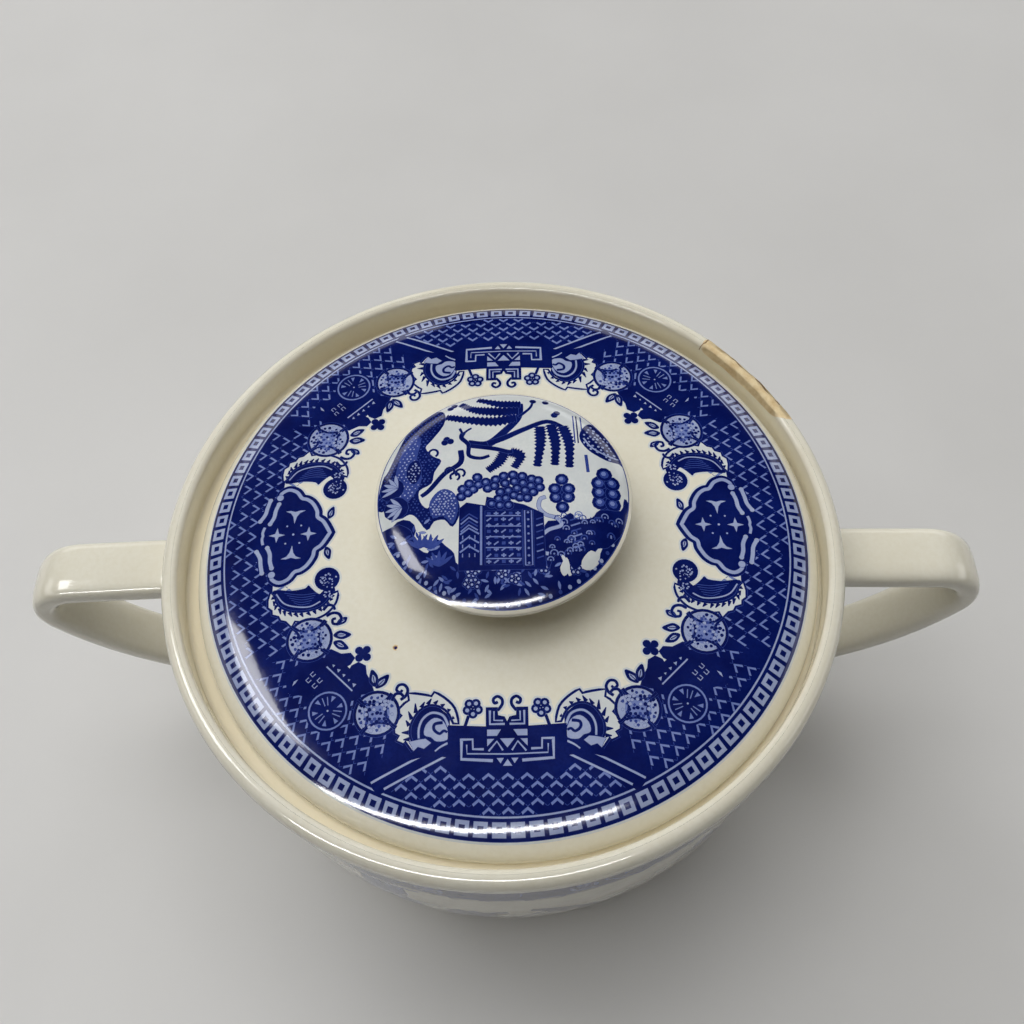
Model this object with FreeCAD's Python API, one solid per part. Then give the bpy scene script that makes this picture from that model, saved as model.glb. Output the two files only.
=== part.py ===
"""Covered sugar bowl in glazed earthenware.

Five pieces: the thrown bowl, two pressed strap handles luted to its sides, a domed lid that
drops onto the ledge inside the rim, and a disc knob luted to the crown of the lid.
Units are millimetres, +Z is up, +X runs along the handles, and the origin is the centre of
the foot, on the surface that the bowl stands on.
"""
import FreeCAD
import Part
import math
import os

# ---- driving dimensions -------------------------------------------------------------------
RIM_RADIUS = 55.0            # outside of the rim bead
RIM_HEIGHT = 75.0            # top of the rim above the table
WALL = 3.6                   # wall thickness of the bowl
WALL_RADIUS = RIM_RADIUS - 1.4
RIM_BORE = 52.2              # inside radius of the rim, above the ledge
BEAD_DEPTH = 4.5             # height of the bead that stands proud of the wall

FOOT_RADIUS = 34.0
FOOT_WIDTH = 3.6
FOOT_RECESS = 2.0            # hollow under the base, inside the foot ring

SHOULDER_HEIGHT = 52.0       # the wall is straight above this height
BELLY_CURVE = 120.0          # radius of the long curve below the straight wall
BELLY_BOTTOM = 18.0          # height where the long curve meets the turn to the base
TURN_CURVE = 19.0            # radius of the turn to the base
TURN_END = -76.0             # angle at which that turn ends, degrees from +X
FLOOR_DISH = 1.2             # the inside of the floor is this much lower at the centre

LEDGE_BORE = 48.6            # inside radius of the ledge that carries the lid
LEDGE_HEIGHT = 69.0
SEAT_GAP = 0.1               # lid rests on the high spots of the glaze

LID_RADIUS = 50.6
LID_OFFSET = 0.8             # the loose lid lies a little towards +X in its seat
LID_CROWN = 77.2             # top of the lid at its centre
FLANGE_RADIUS = 46.8         # ring under the lid that keeps it centred
FLANGE_BOTTOM = 64.0
FLANGE_WIDTH = 3.2
LID_THICKNESS = 4.0
VAULT_RADIUS = 28.0          # shallow vault under the middle of the lid
VAULT_RISE = 0.9

KNOB_ROOT = 11.0             # radius where the knob's neck meets the lid
KNOB_NECK = 9.4
KNOB_RADIUS = 19.6
KNOB_EDGE_HEIGHT = 86.2      # widest part of the disc
KNOB_TOP = 88.6
KNOB_CONVEX = 0.7            # rise of the disc's top face

STRAP_WIDTH = 10.2
STRAP_THICKNESS = 5.0
STRAP_CORNER = 1.9
STRAP_TOP_HEIGHT = 65.4      # middle of the top limb where it leaves the wall
STRAP_TOP_SLOPE = -3.0       # degrees below level
STRAP_TOP_LENGTH = 22.0
STRAP_BEND = 8.0             # radius of the outer bend
STRAP_BEND_TURN = 109.0
STRAP_RETURN = 50.0          # radius of the lower limb
STRAP_RETURN_TURN = 49.0
STRAP_START = 51.0           # radius where the strap starts, inside the wall
RIGHT_HANDLE_DROP = 1.6      # the handles are set by hand, one a little lower


# ---- helpers ------------------------------------------------------------------------------
def polar(centre, radius, degrees):
    """Point at an angle on a circle in the radius-height plane."""
    a = math.radians(degrees)
    return (centre[0] + radius * math.cos(a), centre[1] + radius * math.sin(a))


def outline_edges(points):
    """Edges of a closed outline in the XZ plane.

    Each point is (radius, height, sag). The sag is the height of the arc that arrives at the
    point, on the left of its direction, and 0 makes a straight edge.
    """
    edges = []
    for start, end in zip(points, points[1:] + points[:1]):
        a = FreeCAD.Vector(start[0], 0, start[1])
        b = FreeCAD.Vector(end[0], 0, end[1])
        if end[2] == 0:
            edges.append(Part.LineSegment(a, b).toShape())
            continue
        along = (b - a).normalize()
        left = FreeCAD.Vector(-along.z, 0, along.x)
        edges.append(Part.Arc(a, (a + b) * 0.5 + left * end[2], b).toShape())
    return edges


def revolved(points, centre_x=0.0):
    """Solid of revolution about the vertical line through (centre_x, 0)."""
    face = Part.Face(Part.Wire(outline_edges(points)))
    solid = face.revolve(FreeCAD.Vector(0, 0, 0), FreeCAD.Vector(0, 0, 1), 360)
    solid.translate(FreeCAD.Vector(centre_x, 0, 0))
    return solid


def sag(radius, chord_start, chord_end):
    """Sag of an arc of the given radius between two points."""
    half = math.dist(chord_start, chord_end) / 2
    return radius - math.sqrt(radius * radius - half * half)


def cap_sag(reach, rise):
    """Sag of an arc that crosses the axis level, so that it revolves to part of a sphere."""
    radius = (reach * reach + rise * rise) / (2 * rise)
    return sag(radius, (0, rise), (reach, 0))


# ---- bowl ---------------------------------------------------------------------------------
def belly(offset):
    """Three points of the wall's curve: shoulder, belly bottom and turn end.

    The offset moves the curve inwards, so the same arcs serve the outside and the inside.
    """
    long_centre = (WALL_RADIUS - BELLY_CURVE, SHOULDER_HEIGHT)
    drop = SHOULDER_HEIGHT - BELLY_BOTTOM
    meet_angle = -math.degrees(math.asin(drop / BELLY_CURVE))
    turn_centre = polar(long_centre, BELLY_CURVE - TURN_CURVE, meet_angle)
    shoulder = (WALL_RADIUS - offset, SHOULDER_HEIGHT)
    bottom = polar(long_centre, BELLY_CURVE - offset, meet_angle)
    end = polar(turn_centre, TURN_CURVE - offset, TURN_END)
    return shoulder, bottom, end


def outer_side():
    """Outline points of the bowl's outside, from the foot up to the top of the bead."""
    shoulder, bottom, end = belly(0)
    bead_foot = RIM_HEIGHT - BEAD_DEPTH
    return [
        (FOOT_RADIUS - 0.7, 0, 0),
        (FOOT_RADIUS, 0.9, -0.2),
        (FOOT_RADIUS + 0.2, 3.4, 0),
        (end[0], end[1], 0.25),
        (bottom[0], bottom[1], -sag(TURN_CURVE, end, bottom)),
        (shoulder[0], shoulder[1], -sag(BELLY_CURVE, bottom, shoulder)),
        (WALL_RADIUS, bead_foot, 0),
        (RIM_RADIUS, bead_foot + 1.5, -0.3),
        (RIM_RADIUS, RIM_HEIGHT - 1.95, 0),
        (RIM_RADIUS - 1.95, RIM_HEIGHT, -0.57),
    ]


def inner_side():
    """Outline points of the inside, from the top of the rim down to the floor."""
    shoulder, bottom, end = belly(WALL)
    return [
        (RIM_BORE, RIM_HEIGHT - 0.85, -0.25),
        (RIM_BORE, LEDGE_HEIGHT, 0),
        (LEDGE_BORE, LEDGE_HEIGHT, 0),
        (LEDGE_BORE, LEDGE_HEIGHT - 1.4, 0),
        (WALL_RADIUS - WALL, LEDGE_HEIGHT - 6.0, 0),
        (shoulder[0], shoulder[1], 0),
        (bottom[0], bottom[1], sag(BELLY_CURVE - WALL, shoulder, bottom)),
        (end[0], end[1], sag(TURN_CURVE - WALL, bottom, end)),
        (0, end[1] - FLOOR_DISH, cap_sag(end[0], FLOOR_DISH)),
    ]


def underside():
    """Outline points of the recess inside the foot ring, from the axis outwards."""
    foot_bore = FOOT_RADIUS - FOOT_WIDTH
    return [
        (0, FOOT_RECESS, 0),
        (foot_bore - 1.2, FOOT_RECESS, 0),
        (foot_bore, FOOT_RECESS - 0.9, -0.25),
        (foot_bore + 0.3, 0.4, 0),
        (foot_bore + 0.8, 0, 0.1),
    ]


def bowl_body():
    return revolved(underside() + outer_side() + inner_side())


def bowl_envelope():
    """The bowl as if it were full, used to trim the handles to its outside."""
    top = [(0, RIM_HEIGHT, 0), (0, 0, 0)]
    return revolved(outer_side() + top)


# ---- handles ------------------------------------------------------------------------------
def strap_section(position, heading):
    """Rounded rectangle across the strap, square to its heading in the XZ plane."""
    half_t = STRAP_THICKNESS / 2
    half_w = STRAP_WIDTH / 2
    c = STRAP_CORNER
    normal = FreeCAD.Vector(-math.sin(heading), 0, math.cos(heading))
    across = FreeCAD.Vector(0, 1, 0)

    def at(t, w):
        return position + normal * t + across * w

    edges = []
    corners = [(1, 1), (-1, 1), (-1, -1), (1, -1)]
    diagonal = c * (1 - math.sqrt(0.5))
    for i, (st, sw) in enumerate(corners):
        flat_side = at(st * half_t, sw * (half_w - c))
        mid = at(st * (half_t - diagonal), sw * (half_w - diagonal))
        edge_side = at(st * (half_t - c), sw * half_w)
        first, last = (flat_side, edge_side) if i % 2 == 0 else (edge_side, flat_side)
        edges.append(Part.Arc(first, mid, last).toShape())
        nt, nw = corners[(i + 1) % 4]
        if i % 2 == 0:
            following = at(nt * (half_t - c), nw * half_w)
        else:
            following = at(nt * half_t, nw * (half_w - c))
        edges.append(Part.LineSegment(last, following).toShape())
    return Part.Face(Part.Wire(edges))


def strap():
    """The strap along its route: level top limb, tight outer bend, long returning limb."""
    position = FreeCAD.Vector(STRAP_START, 0, STRAP_TOP_HEIGHT)
    heading = math.radians(STRAP_TOP_SLOPE)
    along = FreeCAD.Vector(math.cos(heading), 0, math.sin(heading))
    spans = [strap_section(position, heading).extrude(along * STRAP_TOP_LENGTH)]
    position = position + along * STRAP_TOP_LENGTH
    for radius, turn in ((STRAP_BEND, STRAP_BEND_TURN), (STRAP_RETURN, STRAP_RETURN_TURN)):
        inward = FreeCAD.Vector(math.sin(heading), 0, -math.cos(heading))
        centre = position + inward * radius
        section = strap_section(position, heading)
        spans.append(section.revolve(centre, FreeCAD.Vector(0, 1, 0), turn))
        heading -= math.radians(turn)
        inward = FreeCAD.Vector(math.sin(heading), 0, -math.cos(heading))
        position = centre - inward * radius
    return spans[0].multiFuse(spans[1:]).removeSplitter()


def handle(side, drop):
    """Handle on one side, +1 for +X and -1 for -X, trimmed to the bowl's outside."""
    shape = strap()
    shape.translate(FreeCAD.Vector(0, 0, -drop))
    if side < 0:
        shape.rotate(FreeCAD.Vector(0, 0, 0), FreeCAD.Vector(0, 0, 1), 180)
    trimmed = shape.cut(bowl_envelope())
    return max(trimmed.Solids, key=lambda solid: solid.Volume)


# ---- lid and knob -------------------------------------------------------------------------
def lid():
    """Low dome with a rounded shoulder, a flat seat and a locating ring underneath."""
    seat = LEDGE_HEIGHT + SEAT_GAP
    under = LID_CROWN - LID_THICKNESS
    flange_bore = FLANGE_RADIUS - FLANGE_WIDTH
    return revolved([
        (0, under, 0),
        (VAULT_RADIUS, under - VAULT_RISE, cap_sag(VAULT_RADIUS, VAULT_RISE)),
        (flange_bore - 1.5, seat + 0.6, 0.4),
        (flange_bore, FLANGE_BOTTOM + 0.8, 0),
        (flange_bore + 1.0, FLANGE_BOTTOM, 0.2),
        (FLANGE_RADIUS - 1.2, FLANGE_BOTTOM, 0),
        (FLANGE_RADIUS - 0.2, FLANGE_BOTTOM + 0.9, -0.2),
        (FLANGE_RADIUS, seat, 0),
        (LID_RADIUS - 0.9, seat, 0),
        (LID_RADIUS, seat + 1.3, -0.25),
        (LID_RADIUS - 0.1, seat + 1.9, 0),
        (48.5, 73.4, -0.35),
        (43.0, 75.2, -0.45),
        (KNOB_ROOT, LID_CROWN, -0.3),
        (0, LID_CROWN, 0),
    ], LID_OFFSET)


def lid_knob():
    """Short waisted neck under a wide, slightly convex disc."""
    disc_bottom = KNOB_EDGE_HEIGHT - 1.7
    crown_radius = KNOB_RADIUS - 3.2
    return revolved([
        (0, LID_CROWN, 0),
        (KNOB_ROOT, LID_CROWN, 0),
        (KNOB_NECK, LID_CROWN + 3.2, 0.6),
        (KNOB_NECK + 2.6, disc_bottom - 0.9, 0.8),
        (KNOB_RADIUS - 1.2, disc_bottom, 0),
        (KNOB_RADIUS, KNOB_EDGE_HEIGHT, -0.35),
        (crown_radius, KNOB_TOP - KNOB_CONVEX, -0.75),
        (0, KNOB_TOP, -cap_sag(crown_radius, KNOB_CONVEX)),
    ], LID_OFFSET)


# ---- export -------------------------------------------------------------------------------
def main():
    os.makedirs("parts", exist_ok=True)
    pieces = {
        "bowl_body": bowl_body(),
        "handle_left": handle(-1, 0.0),
        "handle_right": handle(1, RIGHT_HANDLE_DROP),
        "lid": lid(),
        "lid_knob": lid_knob(),
    }
    for name, shape in pieces.items():
        shape.exportStep(f"parts/{name}.step")
        box = shape.optimalBoundingBox(False)
        print(name, "valid", shape.isValid(), "solids", len(shape.Solids),
              "volume %.0f" % shape.Volume,
              "x %.1f..%.1f z %.1f..%.1f" % (box.XMin, box.XMax, box.ZMin, box.ZMax))


main()
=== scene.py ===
"""Looks of the covered sugar bowl: glazed earthenware with a cobalt underglaze print.

The print is drawn flat, as filled outlines in millimetres, and cut into a triangulated sheet. Each
triangle takes the tone of the last outline over it, and the sheet is laid on the lid, the knob or
the bowl's side.
"""
import math
import random

import bmesh
import bpy
import numpy as np
from mathutils import Matrix, Vector
from mathutils.geometry import delaunay_2d_cdt


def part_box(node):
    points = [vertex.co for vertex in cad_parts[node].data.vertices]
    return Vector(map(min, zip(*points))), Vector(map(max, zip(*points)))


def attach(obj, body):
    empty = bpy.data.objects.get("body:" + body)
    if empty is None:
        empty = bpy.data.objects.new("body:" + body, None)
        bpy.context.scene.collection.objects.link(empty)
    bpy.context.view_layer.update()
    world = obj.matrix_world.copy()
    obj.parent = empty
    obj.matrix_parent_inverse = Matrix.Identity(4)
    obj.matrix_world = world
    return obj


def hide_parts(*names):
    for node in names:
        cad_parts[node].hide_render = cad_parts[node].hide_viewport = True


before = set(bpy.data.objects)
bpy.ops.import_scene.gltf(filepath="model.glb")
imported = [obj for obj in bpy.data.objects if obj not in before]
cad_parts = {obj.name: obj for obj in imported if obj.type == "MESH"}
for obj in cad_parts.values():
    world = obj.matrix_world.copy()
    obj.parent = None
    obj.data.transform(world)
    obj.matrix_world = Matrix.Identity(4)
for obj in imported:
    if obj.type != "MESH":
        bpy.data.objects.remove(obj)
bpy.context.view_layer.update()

MM = 0.001
TAU = 2 * math.pi

# ---- measures, in millimetres -------------------------------------------------------------
bowl_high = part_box("bowl_body")[1] / MM
lid_low, lid_high = (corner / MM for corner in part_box("lid"))
knob_low, knob_high = (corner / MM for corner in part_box("lid_knob"))
RIM_TOP = bowl_high.z
RIM_RADIUS = bowl_high.y
WALL_RADIUS = RIM_RADIUS - 1.4
LID_X = (lid_low.x + lid_high.x) / 2
LID_RADIUS = (lid_high.y - lid_low.y) / 2
LID_CROWN = lid_high.z
LID_SEAT = RIM_TOP - 5.9
KNOB_RADIUS = (knob_high.y - knob_low.y) / 2
KNOB_TOP = knob_high.z

WALL = 3.6
SHOULDER_HEIGHT = 52.0       # the wall is straight above this height
BELLY_CURVE = 120.0          # radius of the long curve below it
TURN_CURVE = 19              # radius of the turn to the base
TURN_END = -76               # heading where that turn ends, in degrees
PRINT_LOW = 18.0             # the wall between these heights carries the side print
PRINT_HIGH = RIM_TOP - 5.5
HALF_TURN = math.pi * WALL_RADIUS
LONG_R, LONG_Z = WALL_RADIUS - BELLY_CURVE, SHOULDER_HEIGHT         # centre of the long curve
MEET = -math.degrees(math.asin((SHOULDER_HEIGHT - PRINT_LOW) / BELLY_CURVE))
TURN_R = LONG_R + (BELLY_CURVE - TURN_CURVE) * math.cos(math.radians(MEET))
TURN_Z = LONG_Z + (BELLY_CURVE - TURN_CURVE) * math.sin(math.radians(MEET))

RIM_BORE = 52.2
LEDGE_TOP = LID_SEAT - 0.1
LEDGE_EDGE = 50.6            # the rim's mesh meets the ledge's here
LEDGE_BORE = 48.6
RIM_STEP = math.radians(1) * RIM_RADIUS
CHIP_FROM, CHIP_TO = 14, 54  # columns of the rim around the chip, in degrees
CHIP_DEPTH = 0.4
CHIP_SLOPE = 0.7             # the chip reaches its depth this far in from its edge

LID_DOME = (1.9, 43)         # fall of the lid's dome, and the radius where it has fallen so far
LID_FLAT = 42.0              # radius where the lid's shoulder starts
SHOULDER_FALL = 4.2
LID_ZONE = 48.9              # the lid's printed face ends here
BORDER_EDGE = 48.4           # outer line of the lid's border

KNOB_ZONE = 19.25            # the knob's printed face ends here
KNOB_DOME = (0.7, 16.4)
KNOB_FLAT = 15.0             # radius where the knob's brim starts
BRIM_FALL = 0.075            # fall of the brim over the square of the way out

STRAP_HALF_WIDTH = 5.15
STRAP_HALF_THICKNESS = 2.45
STRAP_SQUARENESS = 0.62      # 1 is an ellipse, 0 is a rectangle
FLARE_REACH = 3.4            # the strap flares out this near to the wall

GLAZE, TINT, PALE, SOFT, MID, INK, CLAY, STAIN = range(8)      # in the order of make_looks()
HALO = 0.07                  # soft edge where the ink has bled


# ---- camera, floor and light --------------------------------------------------------------
def make_camera():
    """Viewpoint close by and high in front, turned and rolled a little."""
    data = bpy.data.cameras.new("camera")
    data.sensor_width = 36.0
    data.lens = 36.1
    data.clip_start = 0.01
    camera = bpy.data.objects.new("camera", data)
    bpy.context.scene.collection.objects.link(camera)
    bpy.context.scene.camera = camera
    aim = Vector((1.9, 3.8, RIM_TOP)) * MM
    elevation = math.radians(59.75)
    azimuth = math.radians(-2.02)
    roll = math.radians(-3.13)
    distance = 0.1677
    level = math.cos(elevation)
    forward = Vector((math.sin(azimuth) * level, math.cos(azimuth) * level, -math.sin(elevation)))
    place = Matrix.Translation(aim - forward * distance)
    facing = forward.to_track_quat("-Z", "Y").to_matrix().to_4x4()
    camera.matrix_world = place @ facing @ Matrix.Rotation(roll, 4, "Z")


def panel(name, azimuth, elevation, size, power, lights="diffuse"):
    """Rectangular lamp aimed at the bowl. It lights surfaces, or only shows in their gloss."""
    distance = 1.3
    a, e = math.radians(azimuth), math.radians(elevation)
    place = Vector((math.cos(a) * math.cos(e), math.sin(a) * math.cos(e), math.sin(e))) * distance
    data = bpy.data.lights.new(name, "AREA")
    data.shape = "RECTANGLE"
    data.size, data.size_y = size
    data.energy = power
    light = bpy.data.objects.new(name, data)
    light.location = place
    light.rotation_euler = (Vector((0, 0, 0.05)) - place).to_track_quat("-Z", "Y").to_euler()
    light.visible_camera = False
    light.visible_diffuse = lights == "diffuse"
    light.visible_glossy = lights == "gloss"
    bpy.context.scene.collection.objects.link(light)


def strip_lamp(name, start, end, width, power):
    """Long thin lamp between two points, seen only in the gloss."""
    start, end = Vector(start), Vector(end)
    middle = (start + end) / 2
    back = middle.normalized()
    along = (end - start) - (end - start).dot(back) * back
    panel(name, 0, 0, ((end - start).length, width), power, "gloss")
    across = back.cross(along.normalized())
    turn = Matrix((along.normalized(), across, back)).transposed().to_4x4()
    bpy.data.objects[name].matrix_world = Matrix.Translation(middle) @ turn


def make_light():
    """Soft light from above and the back left, and lamps that only show as gleams in the glaze."""
    world = bpy.data.worlds.new("room")
    bpy.context.scene.world = world
    world.use_nodes = True
    backdrop = world.node_tree.nodes["Background"].inputs
    backdrop["Color"].default_value = (0.95, 0.97, 1.0, 1)
    backdrop["Strength"].default_value = 0.55
    world.cycles_visibility.diffuse = False
    world.cycles_visibility.glossy = False
    for name, azimuth, elevation, power in (
            ("window_left", 135, 40, 4.7), ("ceiling_left", 180, 68, 4.4), ("ceiling", 0, 88, 3.6),
            ("ceiling_back", 90, 68, 4.6), ("low_right", 37, 15, 3.2), ("front_fill", 262, 35, 0.2)):
        panel(name, azimuth, elevation, (0.8, 0.8), power)
    panel("window_gleam", 176, 48, (0.5, 0.38), 5.0, "gloss")
    for azimuth, power in ((0, 1.2), (60, 1.2), (120, 1.2), (180, 1.2), (225, 0.15), (315, 0.15)):
        panel(f"side_gleam_{azimuth}", azimuth, 18, (0.9, 0.35), power, "gloss")
    strip_lamp("strip_gleam", (0.6, -0.68, 1.2), (-1.33, -1.2, 1.2), 0.12, 22)
    bpy.context.scene.view_settings.view_transform = "Standard"


# ---- materials ----------------------------------------------------------------------------
class Look:
    """A Principled material built node by node, with object coordinates in millimetres."""

    def __init__(self, name):
        self.material = bpy.data.materials.new(name)
        self.material.use_nodes = True
        self.tree = self.material.node_tree
        self.shader = self.tree.nodes["Principled BSDF"]
        coords = self.node("ShaderNodeTexCoord")
        scale = self.node("ShaderNodeVectorMath", operation="SCALE")
        scale.inputs["Scale"].default_value = 1 / MM
        self.link(coords.outputs["Object"], scale.inputs[0])
        self.mm = scale.outputs[0]

    def node(self, kind, **settings):
        made = self.tree.nodes.new(kind)
        for key, value in settings.items():
            setattr(made, key, value)
        return made

    def link(self, output, socket):
        self.tree.links.new(output, socket)

    def set(self, **values):
        for key, value in values.items():
            self.shader.inputs[key.replace("_", " ")].default_value = value

    def noise(self, scale, detail=3.0, rough=0.5):
        """Noise with features about 1/scale millimetres across."""
        made = self.node("ShaderNodeTexNoise")
        made.inputs["Scale"].default_value = scale
        made.inputs["Detail"].default_value = detail
        made.inputs["Roughness"].default_value = rough
        self.link(self.mm, made.inputs["Vector"])
        return made.outputs["Fac"]

    def ramp(self, value, stops):
        """Colour ramp of (position, colour) stops."""
        made = self.node("ShaderNodeValToRGB")
        while len(made.color_ramp.elements) < len(stops):
            made.color_ramp.elements.new(0.5)
        for element, (position, color) in zip(made.color_ramp.elements, stops):
            element.position = position
            element.color = (*color, 1)
        self.link(value, made.inputs["Fac"])
        return made.outputs["Color"]

    def mix(self, factor, a, b):
        """Colour between a and b, each an output or a plain colour."""
        made = self.node("ShaderNodeMix", data_type="RGBA")
        self.link(factor, made.inputs["Factor"])
        for socket, value in ((made.inputs["A"], a), (made.inputs["B"], b)):
            if isinstance(value, tuple):
                socket.default_value = (*value, 1)
            else:
                self.link(value, socket)
        return made.outputs["Result"]

    def span(self, value, low, high, to_low, to_high):
        """Value mapped from one range to another, and kept inside it."""
        made = self.node("ShaderNodeMapRange")
        for key, number in (("From Min", low), ("From Max", high), ("To Min", to_low),
                            ("To Max", to_high)):
            made.inputs[key].default_value = number
        self.link(value, made.inputs["Value"])
        return made.outputs["Result"]

    def bump(self, layers):
        """Bump from (height output, depth in mm) layers, one after the other."""
        normal = None
        for height, depth in layers:
            made = self.node("ShaderNodeBump")
            made.inputs["Strength"].default_value = 1.0
            made.inputs["Distance"].default_value = depth * MM
            self.link(height, made.inputs["Height"])
            if normal:
                self.link(normal, made.inputs["Normal"])
            normal = made.outputs["Normal"]
        self.link(normal, self.shader.inputs["Normal"])


def glossy_surface(look):
    """Shared finish of everything under the clear glaze: ripple, orange peel and fine pits."""
    look.set(IOR=1.5, Coat_Weight=0.35, Coat_Roughness=0.04)
    look.link(look.span(look.noise(0.35, 4), 0.3, 0.7, 0.09, 0.16), look.shader.inputs["Roughness"])
    peel = look.noise(0.55, 2)
    ripple = look.noise(0.12, 1)
    look.bump([(ripple, 0.10), (peel, 0.014), (look.noise(2.4, 2), 0.006)])


def glaze_look(name="cream_glaze", seat_stain_and_light=False):
    """Cream glaze over pale clay, with clouding. Round the lid's seat it is warmer and brighter: a glaze
    stain and painted light.
    """
    look = Look(name)
    cloud = look.ramp(look.noise(0.05, 4), [(0.3, (0.745, 0.705, 0.575)), (0.7, (0.800, 0.770, 0.655))])
    fine = look.span(look.noise(1.3, 2), 0.35, 0.75, 0.0, 0.35)
    tone = look.mix(fine, cloud, (0.70, 0.65, 0.50))
    if seat_stain_and_light:
        level = look.node("ShaderNodeVectorMath", operation="MULTIPLY")
        level.inputs[1].default_value = (1, 1, 0)
        look.link(look.mm, level.inputs[0])
        radius = look.node("ShaderNodeVectorMath", operation="LENGTH")
        look.link(level.outputs[0], radius.inputs[0])
        distance = radius.outputs["Value"]
        # warm stain of pooled glaze, also painted brighter than the cream as painted light standing in
        # for light bouncing in the channel between rim and lid
        stain_and_painted_bounce = look.mix(look.span(distance, RIM_RADIUS - 3.4, RIM_RADIUS - 2.2, 0.6, 0.0), tone,
                         (0.93, 0.82, 0.58))
        seat = look.mix(look.span(distance, 49.7, 50.5, 1.0, 0.0), stain_and_painted_bounce, tone)
        parts = look.node("ShaderNodeSeparateXYZ")
        look.link(look.mm, parts.inputs[0])
        tone = look.mix(look.span(parts.outputs["Z"], LID_SEAT - 3, LID_SEAT - 2, 0.0, 1.0), tone, seat)
    look.link(tone, look.shader.inputs["Base Color"])
    glossy_surface(look)
    return look.material


def print_look(name, low, high):
    """Underglaze print: the ink gathers and thins in clouds and in a fine grain."""
    look = Look(name)
    cloud = look.ramp(look.noise(0.16, 5, 0.6), [(0.32, low), (0.68, high)])
    grain = look.span(look.noise(2.6, 2), 0.4, 0.7, 0.0, 0.5)
    look.link(look.mix(grain, cloud, low), look.shader.inputs["Base Color"])
    glossy_surface(look)
    return look.material


def clay_look(name, low, high):
    """Bare earthenware where the glaze has chipped away."""
    look = Look(name)
    body = look.ramp(look.noise(0.5, 5, 0.65), [(0.3, low), (0.7, high)])
    look.link(body, look.shader.inputs["Base Color"])
    look.set(Roughness=0.6)
    look.bump([(look.noise(2.0, 5, 0.7), 0.06)])
    return look.material


def floor_look():
    """Pale matt tabletop."""
    look = Look("floor")
    tone = look.ramp(look.noise(0.012, 4), [(0.3, (0.600, 0.592, 0.575)), (0.7, (0.640, 0.632, 0.615))])
    look.link(tone, look.shader.inputs["Base Color"])
    look.set(Roughness=0.5)
    look.bump([(look.noise(0.3, 3), 0.02)])
    return look.material


def make_looks():
    """Materials of the glazed pieces, one for each tone."""
    return [
        glaze_look(),
        print_look("tinted_glaze", (0.56, 0.59, 0.60), (0.67, 0.69, 0.67)),
        print_look("pale_print", (0.27, 0.32, 0.52), (0.38, 0.43, 0.60)),
        print_look("soft_print", (0.13, 0.18, 0.43), (0.21, 0.26, 0.51)),
        print_look("washed_print", (0.020, 0.040, 0.22), (0.045, 0.075, 0.31)),
        print_look("cobalt_print", (0.002, 0.005, 0.072), (0.004, 0.012, 0.125)),
        clay_look("bare_clay", (0.60, 0.43, 0.21), (0.84, 0.69, 0.42)),
        clay_look("stained_clay", (0.13, 0.07, 0.03), (0.36, 0.21, 0.09)),
    ]


# ---- drawing the print --------------------------------------------------------------------
def polar(radius, degrees):
    """Point at an angle on a circle about the origin."""
    a = math.radians(degrees)
    return (radius * math.cos(a), radius * math.sin(a))


def arc(cx, cy, radius, start, end, count=10):
    """Points along an arc, angles in degrees."""
    angles = [start + (end - start) * k / count for k in range(count + 1)]
    return [(cx + radius * math.cos(math.radians(a)), cy + radius * math.sin(math.radians(a)))
            for a in angles]


def curve(points, closed=False, per=5):
    """Smooth line through a few points."""
    p = [Vector(q) for q in points]
    n = len(p)
    out = []
    for i in range(n if closed else n - 1):
        a = p[(i - 1) % n] if closed or i > 0 else p[i]
        b, c = p[i], p[(i + 1) % n]
        d = p[(i + 2) % n] if closed or i + 2 < n else c
        for k in range(per):
            t = k / per
            out.append(0.5 * (2 * b + (c - a) * t + (2 * a - 5 * b + 4 * c - d) * t * t
                              + (3 * b - a - 3 * c + d) * t ** 3))
    if not closed:
        out.append(p[-1])
    return [tuple(q) for q in out]


def area(points):
    """Area of an outline, positive when it runs anticlockwise."""
    return 0.5 * sum(a[0] * b[1] - b[0] * a[1] for a, b in zip(points, points[1:] + points[:1]))


def grown(points, amount):
    """Outline moved outwards by a small amount. Points run anticlockwise."""
    out = []
    n = len(points)
    for i in range(n):
        before, here, after = (Vector(points[(i + j) % n]) for j in (-1, 0, 1))
        along = (after - before)
        if along.length < 1e-6:
            continue
        side = Vector((along.y, -along.x)).normalized()
        out.append(tuple(here + side * amount))
    return out


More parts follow.
